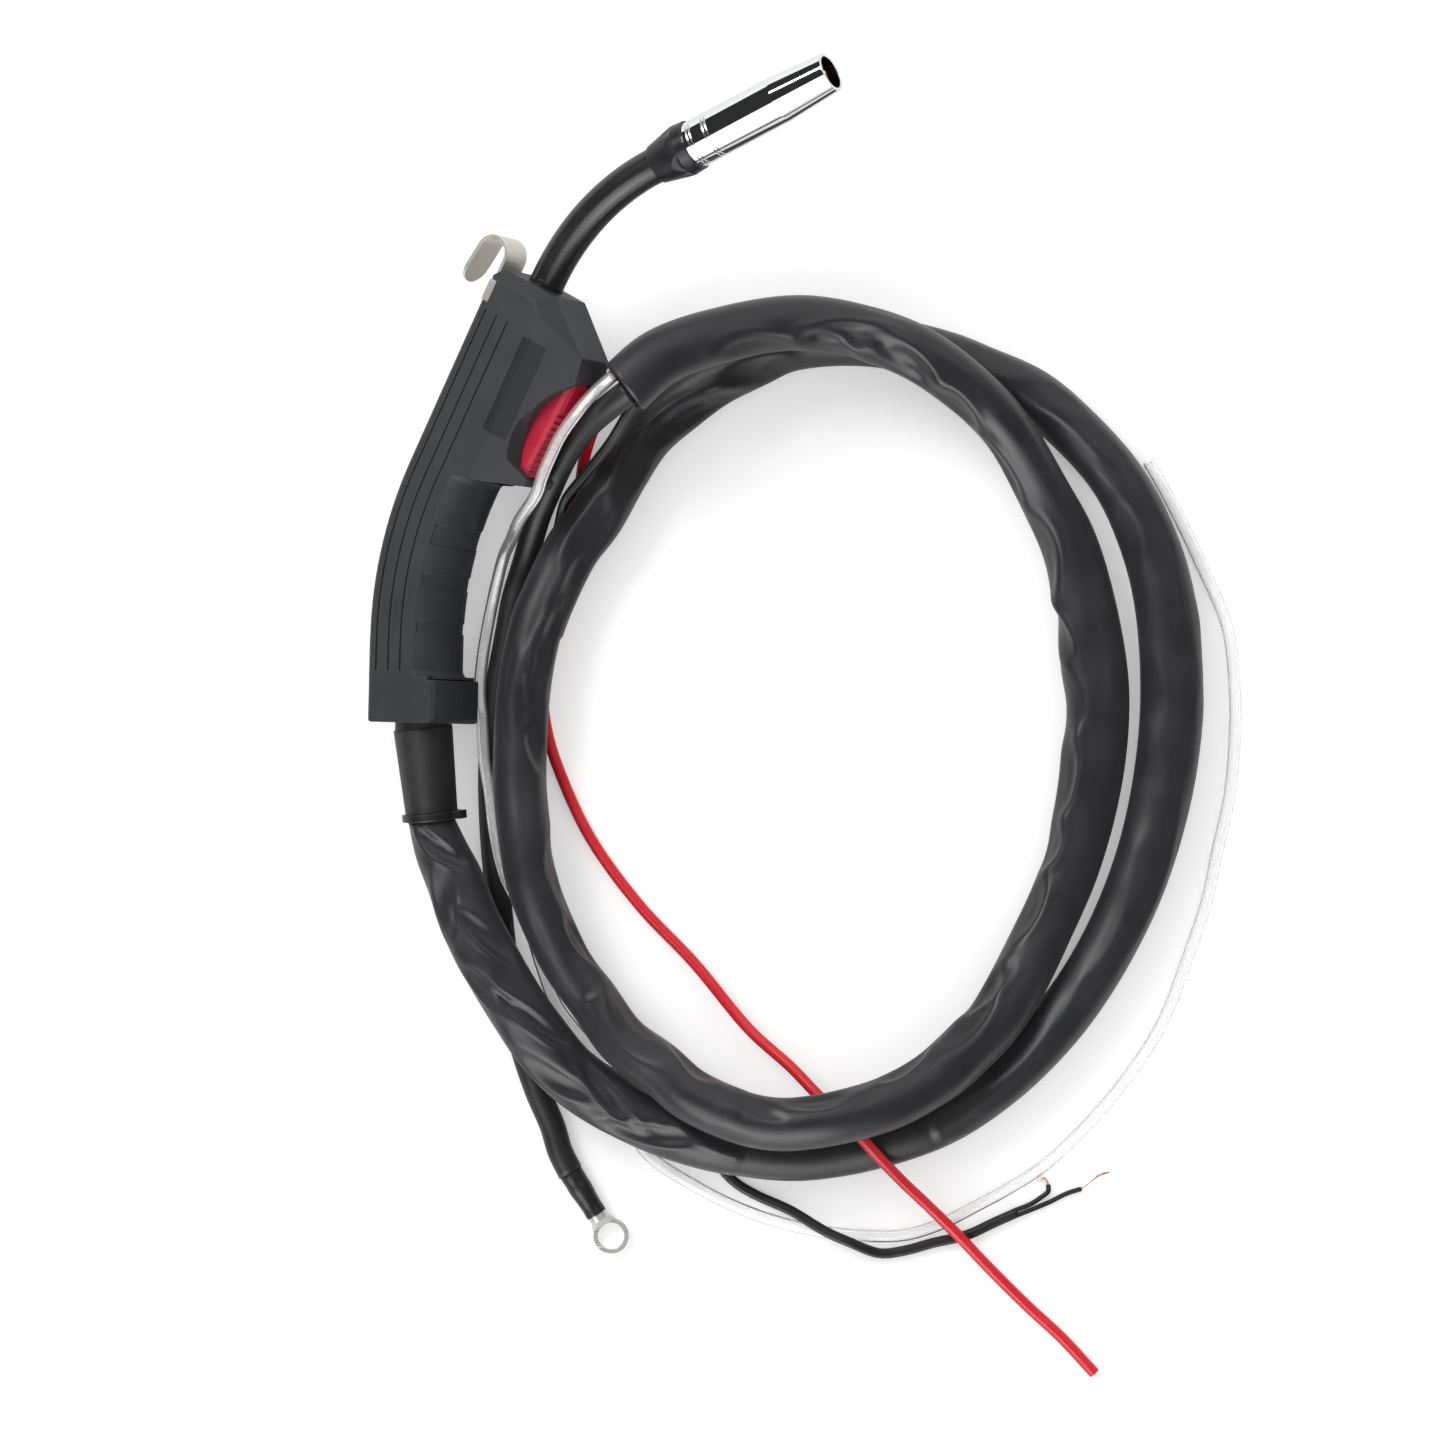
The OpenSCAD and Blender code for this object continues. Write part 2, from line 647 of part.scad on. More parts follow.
// What stands inside one shell: bosses, ribs, posts and the trigger pin's seat
module shell_inside() {
    screw_columns(boss_r, 0, half_t);
    head_rib(block_v[0] - gap - rib_t, block_v[0] - gap);
    head_rib(block_v[1] + gap, block_v[1] + gap + rib_t);
    head_rib(neck_v - 11, neck_v - 11 + rib_t);
    base_rib(boot_flange[1] + 0.2, boot_flange[1] + 0.2 + rib_t);
    base_rib(collar_y[1] + gap, collar_y[1] + gap + rib_t);
    head() translate([pivot.x, pivot.y, window_half]) cylinder(h = half_t, r = pivot_boss_r);
    head() translate([0, notch_v0 - wall, 0]) cube([notch_d + wall, notch_v1 - notch_v0 + 2 * wall, half_t]);
    for (p = switch_holes) head() translate([p.x, p.y, switch_size.z / 2 + 0.3]) cylinder(h = half_t, r = post_r);
}

// Openings that both shells share: neck, boot, cords, block, pin and hook notch
module shell_openings() {
    neck_axis() translate([0, 0, block_boss_v]) cylinder(h = 30, r = jacket_r + hair + fit);
    neck_axis() translate([0, 0, block_v[1]]) cylinder(h = 8, r = block_boss_r + 0.1);
    head() translate([neck_d - block_d / 2 - 0.2, block_v[0] - 5, block_z[0] - 0.2])
        cube([block_d + 0.4, 5.1, block_z[1] - block_z[0] + 0.4]);
    rotate([-90, 0, 0]) translate([0, 0, -over]) cylinder(h = plug_end + over, r = plug_r + fit);
    rotate([-90, 0, 0]) translate([0, 0, plug_end - over]) cylinder(h = 10, r = 9.3);
    head() translate([pivot.x, pivot.y, -pin_half()]) cylinder(h = 2 * pin_half(), r = pin_dia / 2);
    head() translate([-over, notch_v0, -half_t - over])
        cube([notch_d + over, notch_v1 - notch_v0, handle_t + 2 * over]);
    head() translate([30, window_v[0], -window_half])
        cube([30, window_v[1] - window_v[0], 2 * window_half]);
    for (k = [-1, 1]) hook_screw_place(k) cylinder(h = hook_screw_len, r = hook_screw_r + 0.02);
}

// Half the length of the trigger pin: it ends inside both shell walls
function pin_half() = half_t - flank_slope * (pivot.x - flank_d) - wall;

module shell_body() {
    difference() {
        union() {
            handle_half(0);
            lobe_fillets();
        }
        difference() {
            handle_half(wall);
            shell_inside();
        }
        grooves();
        finger_bands();
    }
}

module near_shell() {
    color("#3c3e42") torch() difference() {
        shell_body();
        shell_openings();
        screw_columns(screw_dia / 2 + 0.02, -over, screw_end + gap);
        head() difference() {
            translate([label_d[0], label_v[0], 0])
                cube([label_d[1] - label_d[0], label_v[1] - label_v[0], half_t + over]);
            drawn(0, top_v) head_envelope(label_depth);
        }
    }
}

module far_shell() {
    color("#3c3e42") torch() {
        difference() {
            mirror([0, 0, 1]) shell_body();
            shell_openings();
            screw_columns(screw_dia / 2 + 0.15, -half_t, over);
            screw_columns(screw_head / 2 + 0.2, -half_t - over, -half_t + screw_seat);
        }
        for (p = switch_holes) head() translate([p.x, p.y, -switch_size.z / 2 - 1])
            cylinder(h = switch_size.z, r = switch_hole_r - fit);
    }
}

module shell_screws() {
    color("#8a8a8a") torch() {
        screw_columns(screw_dia / 2, -half_t + screw_seat, screw_end);
        screw_columns(screw_head / 2, -half_t + screw_seat - screw_head_t, -half_t + screw_seat);
    }
}

// ---------- Trigger and switch ----------

module trigger_outline() {
    polygon(concat([for (p = trigger_face) [p[1], p[0]]],
        [[46.6, trigger_top_v], [trigger_back + 3, trigger_top_v], [trigger_back, trigger_arm_v],
        [trigger_back, 18],
        [trigger_back + 1.5, 16]]));
}

module trigger() {
    half = trigger_w / 2;
    color("#c81e3c") torch() head() difference() {
        union() {
            hull() {
                for (e = trigger_edge) translate([0, 0, -half + e[1]])
                    linear_extrude(trigger_w - 2 * e[1]) offset(delta = -e[0]) trigger_outline();
            }
            translate([trigger_back - flange_t, flange_v[0], -flange_half])
                cube([flange_t - 0.4, flange_v[1] - flange_v[0], 2 * flange_half]);
            translate([trigger_back - flange_t, flange_v[0], -half + 2.8])
                cube([flange_t + 1, flange_v[1] - flange_v[0], trigger_w - 5.6]);
            translate([0, 0, boss_z[0]]) linear_extrude(boss_z[1] - boss_z[0])
                polygon([[trigger_back + 3, trigger_arm_v], [pivot.x - pivot_boss_r, pivot.y],
                [pivot.x + pivot_boss_r, pivot.y], [pivot.x + pivot_boss_r, trigger_arm_v]]);
            translate([pivot.x, pivot.y, boss_z[0]])
                cylinder(h = boss_z[1] - boss_z[0], r = pivot_boss_r);
        }
        translate([pivot.x, pivot.y, -half - over])
            cylinder(h = trigger_w + 2 * over, r = pin_dia / 2 + fit);
        for (k = [0:rib_count - 1]) {
            v = rib_v[0] + k * (rib_v[1] - rib_v[0]) / (rib_count - 1);
            translate([lookup(v, trigger_face), v, -half - over])
                cylinder(h = trigger_w + 2 * over, r = rib_r);
        }
    }
}

module trigger_pin() {
    color("#b0b0b0") torch() head() translate([pivot.x, pivot.y, -pin_half() + 0.1])
        cylinder(h = 2 * pin_half() - 0.2, r = pin_dia / 2);
}

// Torsion spring round the pin, beside the trigger's boss; one leg lies along the trigger's arm
module trigger_spring() {
    r = pin_dia / 2 + spring_wire;
    z0 = boss_z[1] + spring_wire / 2 + 0.05;
    rise = (window_half - boss_z[1] - spring_wire - 0.3) / spring_turns;
    steps = spring_turns * 8;
    coil = [for (i = [0:steps]) let (a = 360 * i / 8)
        [pivot.x + r * cos(a), pivot.y + r * sin(a), z0 + rise * i / 8]];
    arm = [[pivot.x + r, pivot.y - 5.8, z0], [pivot.x + r, pivot.y - 2.5, z0]];
    free = [[pivot.x - 5, pivot.y + r, z0 + rise * spring_turns]];
    color("#c0c0c0") torch() head() tube(concat(arm, coil, free), spring_wire / 2, 6);
}

module microswitch() {
    color("#222222") torch() head() difference() {
        translate([switch_at.x, switch_at.y, -switch_size.z / 2]) cube(switch_size);
        translate([plunger_top - plunger_len - 3, plunger_v, 0]) rotate([0, 90, 0])
            cylinder(h = 20, r = plunger_r + fit);
        for (p = switch_holes) translate([p.x, p.y, -switch_size.z])
            cylinder(h = 2 * switch_size.z, r = switch_hole_r);
    }
}

module switch_plunger() {
    color("#d04040") torch() head() translate([plunger_top - plunger_len, plunger_v, 0])
        rotate([0, 90, 0]) cylinder(h = plunger_len, r = plunger_r);
}

// ---------- Hook ----------

module hook_screw_place(side) {
    head() translate([notch_d - hook_t, (notch_v0 + notch_v1) / 2, side * hook_screw_z])
        rotate([0, 90, 0]) children();
}

module hook() {
    color("#b9b2a6") torch() {
        difference() {
            head() {
                translate([foot_d, foot_v0, -foot_half]) cube([hook_t, foot_v1 - foot_v0, 2 * foot_half]);
                for (side = [-1, 1]) translate([ear_d, foot_v0, side * (foot_half - hook_t / 2) - hook_t / 2])
                    cube([notch_d - ear_d, foot_v1 - foot_v0, hook_t]);
            }
            for (k = [-1, 1]) hook_screw_place(k) translate([0, 0, -over])
                cylinder(h = 4, r = hook_screw_r + 0.1);
        }
        head() {
            translate([leg_d, foot_v1 - hook_t, -hook_w / 2]) cube([foot_d - leg_d + hook_t, hook_t, hook_w]);
            translate([leg_d - hair, foot_v1 - hook_t, -hook_w / 2])
                cube([hook_t + 2 * hair, hook_top_v + lap - foot_v1 + hook_t, hook_w]);
            translate([leg_d + hook_t / 2 - hook_r, hook_top_v, 0]) {
                rotate_extrude(angle = 180 - leg_tilt)
                    translate([hook_r - hook_t / 2, -hook_w / 2]) square([hook_t, hook_w]);
                rotate([0, 0, 180 - leg_tilt]) translate([hook_r, 0, 0]) hook_return();
            }
        }
    }
}

// The returning leg, with its rounded end
module hook_return() {
    translate([-hook_t / 2 - hair, 0, 0]) rotate([0, 90, 0]) linear_extrude(hook_t + 2 * hair) {
        translate([-hook_w / 2, -lap]) square([hook_w, hook_leg + lap - hook_w / 2]);
        translate([0, hook_leg - hook_w / 2]) circle(hook_w / 2);
    }
}

module hook_screws() {
    color("#a8a8a8") torch() for (k = [-1, 1]) hook_screw_place(k) {
        cylinder(h = hook_screw_len - 0.2, r = hook_screw_r);
        translate([0, 0, -1.4]) cylinder(h = 1.4, r = hook_screw_head_r);
    }
}

// ---------- Neck ----------

module neck_block() {
    color("#c9a24a") torch() difference() {
        union() {
            head() translate([neck_d - block_d / 2, block_v[0], block_z[0]])
                cube([block_d, block_v[1] - block_v[0], block_z[1] - block_z[0]]);
            neck_axis() translate([0, 0, block_v[0] + over])
                cylinder(h = block_boss_v - block_v[0] - over, r = block_boss_r);
        }
        neck_axis() translate([0, 0, block_v[0] - over]) cylinder(h = 40, r = liner_dia / 2 + 0.15);
        neck_axis() translate([0, 0, tube_start_v - 0.2]) cylinder(h = 20, r = tube_r + hair + 0.02);
    }
}

// A round bar along the neck: straight from v0, round the bend, and on to z1
module neck_bar(r, v0, z1) {
    neck_axis() translate([0, 0, v0]) cylinder(h = neck_v + lap - v0, r = r + hair);
    head() translate([neck_d + neck_r, neck_v, 0]) rotate([0, 0, 180 - neck_turn])
        rotate_extrude(angle = neck_turn) translate([neck_r, 0]) circle(r);
    nozzle_axis() translate([0, 0, -lap]) cylinder(h = z1 + lap, r = r + hair);
}

module neck_pipe(r_out, r_in, v0, z1) {
    difference() {
        neck_bar(r_out, v0, z1);
        neck_bar(r_in, v0 - over, z1 + over);
    }
}

module neck_tube() {
    color("#c87941") torch() neck_pipe(tube_r, tube_bore / 2, tube_start_v, tube_end);
}

module neck_jacket() {
    color("#17181a") torch() neck_pipe(jacket_r, tube_r + fit, block_boss_v + gap, neck_straight);
}

module neck_insulator() {
    rim = insulator_dia / 2;
    color("#1b1c1f") torch() nozzle_axis() translate([0, 0, neck_straight]) difference() {
        union() {
            intersection() {
                rotate_extrude() polygon([[0, 0], [jacket_r + 0.8, 0], [rim, 11.5],
                    [rim, 12.6], [0, 12.6]]);
                rotate([0, 0, 22.5]) cylinder(h = 13, r = rim + 0.1, $fn = 8);
            }
            rotate_extrude() polygon([[0, 11.5], [rim - 0.5, 11.5], [rim, 12.5], [rim - 0.35, insulator_len],
                [0, insulator_len]]);
            cylinder(h = spigot_end - neck_straight, r = spigot_r);
        }
        translate([0, 0, insulator_len - seat_depth]) difference() {
            cylinder(h = seat_depth + over, r = nozzle_dia / 2 + 0.08);
            translate([0, 0, -over]) cylinder(h = 60, r = spigot_r);
        }
        translate([0, 0, -over]) cylinder(h = 60, r = tube_r + hair + fit);
    }
}

module tip_holder() {
    color("#c9a24a") torch() nozzle_axis() difference() {
        rotate_extrude() polygon([[0, tube_end + 0.2], [tube_r, tube_end + 0.2], [tube_r, spigot_end + gap],
            [diffuser_r, spigot_end + gap], [diffuser_r, diffuser_end], [4.4, holder_end], [0, holder_end]]);
        translate([0, 0, tube_end - over]) cylinder(h = plenum_end - tube_end + over, r = liner_dia / 2 + 0.15);
        translate([0, 0, plenum_end - over]) cylinder(h = 20, r = shank_r + 0.03);
        for (k = [0:gas_holes - 1]) rotate([0, 0, k * 360 / gas_holes]) translate([0, 0, gas_hole_z])
            rotate([0, 90, 0]) cylinder(h = 10, r = gas_hole_r);
    }
}

module contact_tip() {
    color("#d08a5a") torch() nozzle_axis() difference() {
        rotate_extrude() polygon([[0, plenum_end + gap], [shank_r, plenum_end + gap], [shank_r, holder_end],
            [tip_dia / 2, holder_end], [tip_dia / 2, tip_end - tip_taper],
            [tip_dia / 2 - 0.8, tip_end], [0, tip_end]]);
        translate([0, 0, plenum_end]) cylinder(h = 60, r = wire_bore / 2);
    }
}

module nozzle() {
    r = nozzle_dia / 2;
    color("#d9dadc") torch() nozzle_axis() translate([0, 0, nozzle_z]) rotate_extrude() difference() {
        polygon([[bore_r, 0], [r, 0], [r, nozzle_straight], [mouth_dia / 2, nozzle_len],
            [mouth_r, nozzle_len], [bore_r, nozzle_straight]]);
        for (z = [3.4, 4.8, 10.4, 11.8]) translate([r, z]) circle(0.3);
    }
}

module nozzle_spring() {
    outer = bore_r - fit;
    coil = [for (i = [0:helix_turns * 12]) let (a = i * 30)
        [(outer - helix_wire / 2) * cos(a), (outer - helix_wire / 2) * sin(a), helix_z + helix_pitch * i / 12]];
    color("#b8b8b8") torch() nozzle_axis() tube(coil, helix_wire / 2, 6);
}

// ---------- Boot, tie and the bundle inside ----------

module cable_boot() {
    color("#151617") difference() {
        union() {
            torch() rotate([-90, 0, 0]) {
                translate([0, 0, -boot_pivot - boot_lap]) cylinder(h = plug_end + boot_pivot + boot_lap, r = plug_r);
                translate([0, 0, boot_flange[0]]) cylinder(h = boot_flange[1] - boot_flange[0], r = boot_flange_r);
            }
            boot_axis() translate([0, 0, -over])
                cylinder(h = boot_len + over, r1 = boot_dia / 2, r2 = boot_end_dia / 2);
        }
        torch() rotate([-90, 0, 0]) translate([0, 0, -boot_pivot - 2 * over]) cylinder(h = 40, r = plug_bore_r);
        boot_axis() translate([0, 0, -3 * over])
            cylinder(h = boot_len + 4 * over, r1 = plug_bore_r + 0.6, r2 = boot_bore_r);
    }
}

module cable_tie() {
    r = boot_end_dia / 2 + (boot_dia - boot_end_dia) / 2 * (boot_len - tie_z) / boot_len + fit;
    color("#101112") boot_axis() {
        translate([0, 0, tie_z]) difference() {
            cylinder(h = tie_w, r = r + tie_t);
            translate([0, 0, -over]) cylinder(h = tie_w + 2 * over, r = r);
        }
        translate([r + tie_t / 2, -tie_head.y / 2, tie_z + (tie_w - tie_head.z) / 2 + 0.4])
            cube([tie_head.x - tie_t, tie_head.y, tie_head.z - 0.8]);
    }
}

module cable_collar() {
    color("#2a2a2c") torch() rotate([-90, 0, 0]) difference() {
        translate([0, 0, collar_y[0]]) cylinder(h = collar_y[1] - collar_y[0], r = collar_r);
        for (l = lanes) translate([l[0], -l[1], 0]) cylinder(h = 30, r = l[2] + 0.15);
    }
}

// From the boot's lower end through the collar and up the handle to a place on the head
function bundle_path(lane, end_v, end_d, end_z) =
    let (end_s = head_s + end_v, from_s = collar_y[1] + 4, to_s = end_s - 18)
    concat([for (l = [boot_len, boot_len - 12, 11]) from_boot([lane[0], -l, lane[1]])],
        [for (s = [4, collar_y[0], from_s]) from_torch(on_spine(s, spine_back + lane[0], lane[1]))],
        [for (k = [1:8]) let (t = k / 8, s = from_s + t * (to_s - from_s))
            from_torch(on_spine(s, (spine_back + lane[0]) * (1 - t) + end_d * t,
            lane[1] * (1 - t) + end_z * t))],
        [from_torch(on_spine(end_s, end_d, end_z))]);

module inner_power_cable() {
    color("#202122") tube(bundle_path(power_lane, block_v[0] - gap, neck_d, power_end_z),
        power_lane[2], 10, -boot_out);
}

module inner_gas_hose() {
    color("#d8dde0") tube(bundle_path(gas_lane, block_v[0] - gap, neck_d, gas_end_z),
        gas_lane[2], 8, -boot_out);
}

module hose_clip() {
    color("#c4c4c4") torch() head() translate([neck_d, clip_v[0], gas_end_z]) rotate([-90, 0, 0])
        difference() {
            cylinder(h = clip_v[1] - clip_v[0], r = gas_lane[2] + 0.8);
            translate([0, 0, -over]) cylinder(h = 20, r = gas_lane[2] + fit);
        }
}

// The liner goes on through the block and round the neck to the tip holder
function neck_liner() =
    concat([for (v = [block_v[0], 62, neck_v]) from_torch(on_spine(head_s + v, neck_d, 0))],
        [for (k = [1:5]) let (a = neck_turn * k / 5)
            from_torch(on_spine(head_s + neck_v + neck_r * sin(a), neck_d + neck_r - neck_r * cos(a), 0))],
        [let (a = neck_turn, e = plenum_end - 12) from_torch(on_spine(
            head_s + neck_v + neck_r * sin(a) + e * cos(a), neck_d + neck_r - neck_r * cos(a) + e * sin(a), 0))]);

module inner_liner() {
    color("#d22c3c") tube(concat(bundle_path(liner_lane, block_v[0] - 8, neck_d, 0), neck_liner()),
        liner_lane[2], 8, -boot_out);
}

module switch_wires() {
    start_v = switch_at.y - gap;
    color("#28292b") tube(bundle_path(wires_lane, start_v, 24, 0), wires_lane[2], 8, -boot_out);
}

// ---------- Free cords ----------

module cable_sleeve() {
    radii = [for (i = [0:len(sleeve_path) - 1]) sleeve_radius(i)];
    color("#191a1c") tube(sleeve_path, radii, 12, boot_out, mouth_out);
}

module power_lead() {
    turn = [sin(lug_turn), -cos(lug_turn), 0];
    color("#151617") tube(concat([in_mouth(lead_in_mouth)], lead_route), lead_dia / 2, 10, mouth_out, turn);
}

module gas_hose() {
    color("#dfe5e8") tube(concat([in_mouth(hose_in_mouth)], hose_route), gas_hose_dia / 2, 8, mouth_out);
}

module wire_liner() {
    color("#d22c3c") tube(concat([in_mouth(liner_in_mouth)], liner_route), liner_dia / 2, 8, mouth_out);
}

module control_cable() {
    color("#141416") tube(concat([in_mouth(control_in_mouth)], control_route), control_dia / 2, 8,
        mouth_out, [cos(control_turn), sin(control_turn), 0]);
}

// Where a core leaves the end of the control cable, on its left or right
function core_start(side) =
    let (end = control_route[len(control_route) - 1], out = [cos(control_turn), sin(control_turn), 0])
    end + gap * out + side * core_side * [-out.y, out.x, 0];

module core(route, side) {
    color("#141416") tube(concat([core_start(side)], route), core_dia / 2, 8,
        [cos(control_turn), sin(control_turn), 0]);
}

module control_core_a() {
    core(core_a_route, 1);
}

module control_core_b() {
    core(core_b_route, -1);
}

module bare_strands() {
    color("#c98a5c") {
        for (k = [0, 1]) {
            tube(concat([core_a_route[3] + [0.7 * k - 0.35, gap, 0]], strands_a[k]), strand_r, 6);
            tube(concat([core_b_route[3] + [gap, 0.35 - 0.7 * k, 0]], strands_b[k]), strand_r, 6);
        }
    }
}

// ---------- Power lug ----------

module lug_frame() {
    translate(lead_route[len(lead_route) - 1]) rotate([0, 0, lug_turn]) children();
}

module lug_shrink() {
    color("#1a1a1c") lug_frame() rotate([90, 0, 0]) translate([0, 0, gap]) difference() {
        cylinder(h = shrink_len, r = shrink_r);
        translate([0, 0, shrink_len - barrel_in]) cylinder(h = barrel_in + over, r = barrel_r + fit);
    }
}

module ring_lug() {
    end = shrink_len + gap;
    low = -barrel_r + 0.4;
    color("#c9c9c6") lug_frame() difference() {
        union() {
            rotate([90, 0, 0]) translate([0, 0, end - barrel_in + 0.2])
                cylinder(h = barrel_in + barrel_out - 0.2, r = barrel_r);
            hull() {
                translate([0, -end - barrel_out + 0.5, 0]) rotate([90, 0, 0]) cylinder(h = 0.5, r = barrel_r - 0.05, $fn = 32);
                translate([-5, -end - 5.6, low]) cube([10, 0.5, lug_t]);
            }
            translate([0, -end - lug_reach, low]) cylinder(h = lug_t, r = lug_dia / 2);
            translate([-5, -end - lug_reach, low]) cube([10, lug_reach - 5.2, lug_t]);
        }
        translate([0, -end - lug_reach, low - over]) cylinder(h = lug_t + 2 * over, r = lug_hole / 2);
        translate([0, -end - lug_reach, low + lug_t]) cylinder(h = 10, r = lug_dia / 2 - 1.4);
    }
}

near_shell();
far_shell();
shell_screws();
trigger();
trigger_pin();
trigger_spring();
microswitch();
switch_plunger();
switch_wires();
hook();
hook_screws();
neck_block();
neck_tube();
neck_jacket();
neck_insulator();
tip_holder();
contact_tip();
nozzle();
nozzle_spring();
cable_boot();
cable_tie();
cable_collar();
inner_power_cable();
inner_gas_hose();
hose_clip();
inner_liner();
cable_sleeve();
power_lead();
lug_shrink();
ring_lug();
gas_hose();
wire_liner();
control_cable();
control_core_a();
control_core_b();
bare_strands();
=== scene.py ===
# %% [markdown]
# # A MIG welding torch in Blender
# The torch's solids come from its CAD model and stay where they are. This lesson adds what the
# solids can't show: the wrinkled cable sleeve, the clear hose, the spiral of the wire liner, bare
# copper strands, and a finish for every piece. Sizes of the torch are in millimetres, and `MM`
# turns them into Blender's metres. The camera, the floor and the lamp are placed in metres.

# %% Load the frame
import math

import bpy
import numpy as np
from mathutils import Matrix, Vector


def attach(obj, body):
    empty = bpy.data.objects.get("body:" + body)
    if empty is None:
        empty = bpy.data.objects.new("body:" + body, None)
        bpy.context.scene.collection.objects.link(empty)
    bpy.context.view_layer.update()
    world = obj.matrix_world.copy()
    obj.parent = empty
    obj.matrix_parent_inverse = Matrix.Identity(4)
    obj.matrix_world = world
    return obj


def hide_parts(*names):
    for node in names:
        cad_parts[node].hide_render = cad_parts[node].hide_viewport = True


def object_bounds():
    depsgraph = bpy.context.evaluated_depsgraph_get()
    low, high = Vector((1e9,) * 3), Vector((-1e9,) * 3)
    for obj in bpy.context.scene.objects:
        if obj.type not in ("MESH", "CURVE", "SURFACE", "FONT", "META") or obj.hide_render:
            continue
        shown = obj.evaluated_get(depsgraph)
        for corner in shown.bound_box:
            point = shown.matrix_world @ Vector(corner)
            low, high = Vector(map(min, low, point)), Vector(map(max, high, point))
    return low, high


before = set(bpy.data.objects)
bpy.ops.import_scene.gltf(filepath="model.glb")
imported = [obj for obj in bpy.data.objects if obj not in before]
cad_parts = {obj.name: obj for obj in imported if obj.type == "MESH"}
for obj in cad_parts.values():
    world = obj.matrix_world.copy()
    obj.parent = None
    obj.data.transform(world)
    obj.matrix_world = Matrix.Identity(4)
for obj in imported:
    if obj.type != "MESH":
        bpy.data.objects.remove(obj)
cad_box = [list(corner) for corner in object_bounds()]
MM = 0.001
print("CAD box", [[round(x, 3) for x in corner] for corner in cad_box])

# %% [markdown]
# ## Camera
# The torch lies on a white table and the camera hangs straight above it. A long lens at 1.4 m keeps
# the tall handle and the flat cable at nearly the same scale.

# %% Camera
VIEW_CENTRE = (46.4 * MM, -102.3 * MM)
VIEW_HEIGHT = 1.4
VIEW_WIDTH = 0.5667
SENSOR_MM = 36

camera_data = bpy.data.cameras.new("camera")
camera_data.sensor_width = SENSOR_MM
camera_data.lens = SENSOR_MM * VIEW_HEIGHT / VIEW_WIDTH
camera = bpy.data.objects.new("camera", camera_data)
camera.location = (*VIEW_CENTRE, VIEW_HEIGHT)
bpy.context.scene.collection.objects.link(camera)
bpy.context.scene.camera = camera
print("lens", round(camera_data.lens, 1), "mm")

# %% [markdown]
# ## Sweeping a tube
# Every cable, hose and tube on a torch is one round section carried along a line. A curve object
# would do for a plain one, but the sleeve has folds and the liner a spiral, so the rings are laid
# out as numbers. First comes a smooth line through the route's points. It is a Catmull-Rom curve
# whose spacing follows the square root of each gap, so it meets every point and never loops.

# %% Smooth lines
CURVE_STEPS = 24


def smooth_line(points, step):
    """Points every `step` mm on a smooth curve through the given ones, and how far along they are."""
    p = np.array(points, float)
    p = np.vstack([2 * p[0] - p[1], p, 2 * p[-1] - p[-2]])
    fine = []
    for a, b, c, d in zip(p, p[1:], p[2:], p[3:]):
        t0, t1 = 0.0, math.sqrt(np.linalg.norm(b - a))
        t2 = t1 + math.sqrt(np.linalg.norm(c - b))
        t3 = t2 + math.sqrt(np.linalg.norm(d - c))
        t = np.linspace(t1, t2, CURVE_STEPS, endpoint=False)[:, None]
        ab = (a * (t1 - t) + b * (t - t0)) / (t1 - t0)
        bc = (b * (t2 - t) + c * (t - t1)) / (t2 - t1)
        cd = (c * (t3 - t) + d * (t - t2)) / (t3 - t2)
        abc = (ab * (t2 - t) + bc * (t - t0)) / (t2 - t0)
        bcd = (bc * (t3 - t) + cd * (t - t1)) / (t3 - t1)
        fine.append((abc * (t2 - t) + bcd * (t - t1)) / (t2 - t1))
    fine = np.vstack([*fine, p[-2][None]])
    run = np.concatenate([[0], np.cumsum(np.linalg.norm(np.diff(fine, axis=0), axis=1))])
    at = np.linspace(0, run[-1], max(4, round(run[-1] / step) + 1))
    return np.column_stack([np.interp(at, run, fine[:, k]) for k in range(3)]), at


print("three points give", len(smooth_line([(0, 0, 0), (30, 10, 0), (40, 40, 0)], 1)[0]), "rings")

# %% [markdown]
# Each ring needs to know which way is sideways and which way is up. An end of a cord meets another
# piece squarely, so its first or last few rings can turn in to a given direction.

# %% Rings
TURN_IN = 7


def unit(v):
    return v / np.linalg.norm(v, axis=-1, keepdims=True)


def spokes(line, sides, first=None, last=None):
    """For each ring, the directions from the line to its corners: side first, then up and round."""
    forward = unit(np.gradient(line, axis=0))
    turn_in = np.linspace(0, 1, TURN_IN, endpoint=False)[:, None]
    if first is not None:
        forward[:TURN_IN] = first + turn_in * (forward[:TURN_IN] - first)
    if last is not None:
        forward[-TURN_IN:] = last + turn_in[::-1] * (forward[-TURN_IN:] - last)
    forward = unit(forward)
    side = unit(np.cross(forward, [0, 0, 1]))
    up = np.cross(side, forward)
    turn = ring_turns(sides)
    return side[:, None] * np.cos(turn)[:, None] + up[:, None] * np.sin(turn)[:, None]


def ring_turns(sides):
    """Where the corners of a ring are, in radians from its side."""
    return 2 * np.pi * (np.arange(sides) + 0.5) / sides


def skin_quads(rings, sides):
    """The faces between neighbouring rings, as numbers of their corners."""
    i, k = np.meshgrid(np.arange(rings - 1), np.arange(sides), indexing="ij")
    a, b = i * sides + k, i * sides + (k + 1) % sides
    return np.stack([a, b, b + sides, a + sides], -1).reshape(-1, 4)


print("two rings of eight corners make", len(skin_quads(2, 8)), "faces")

# %% [markdown]
# The mesh comes from the rings: faces between neighbours, and a flat cap at each end. A hollow tube
# gets a second skin inside, with its faces turned round, and a rim that joins both skins.

# %% Tubes
def end_caps(rings, sides):
    end = (rings - 1) * sides
    return [list(range(sides))[::-1], list(range(end, end + sides))]


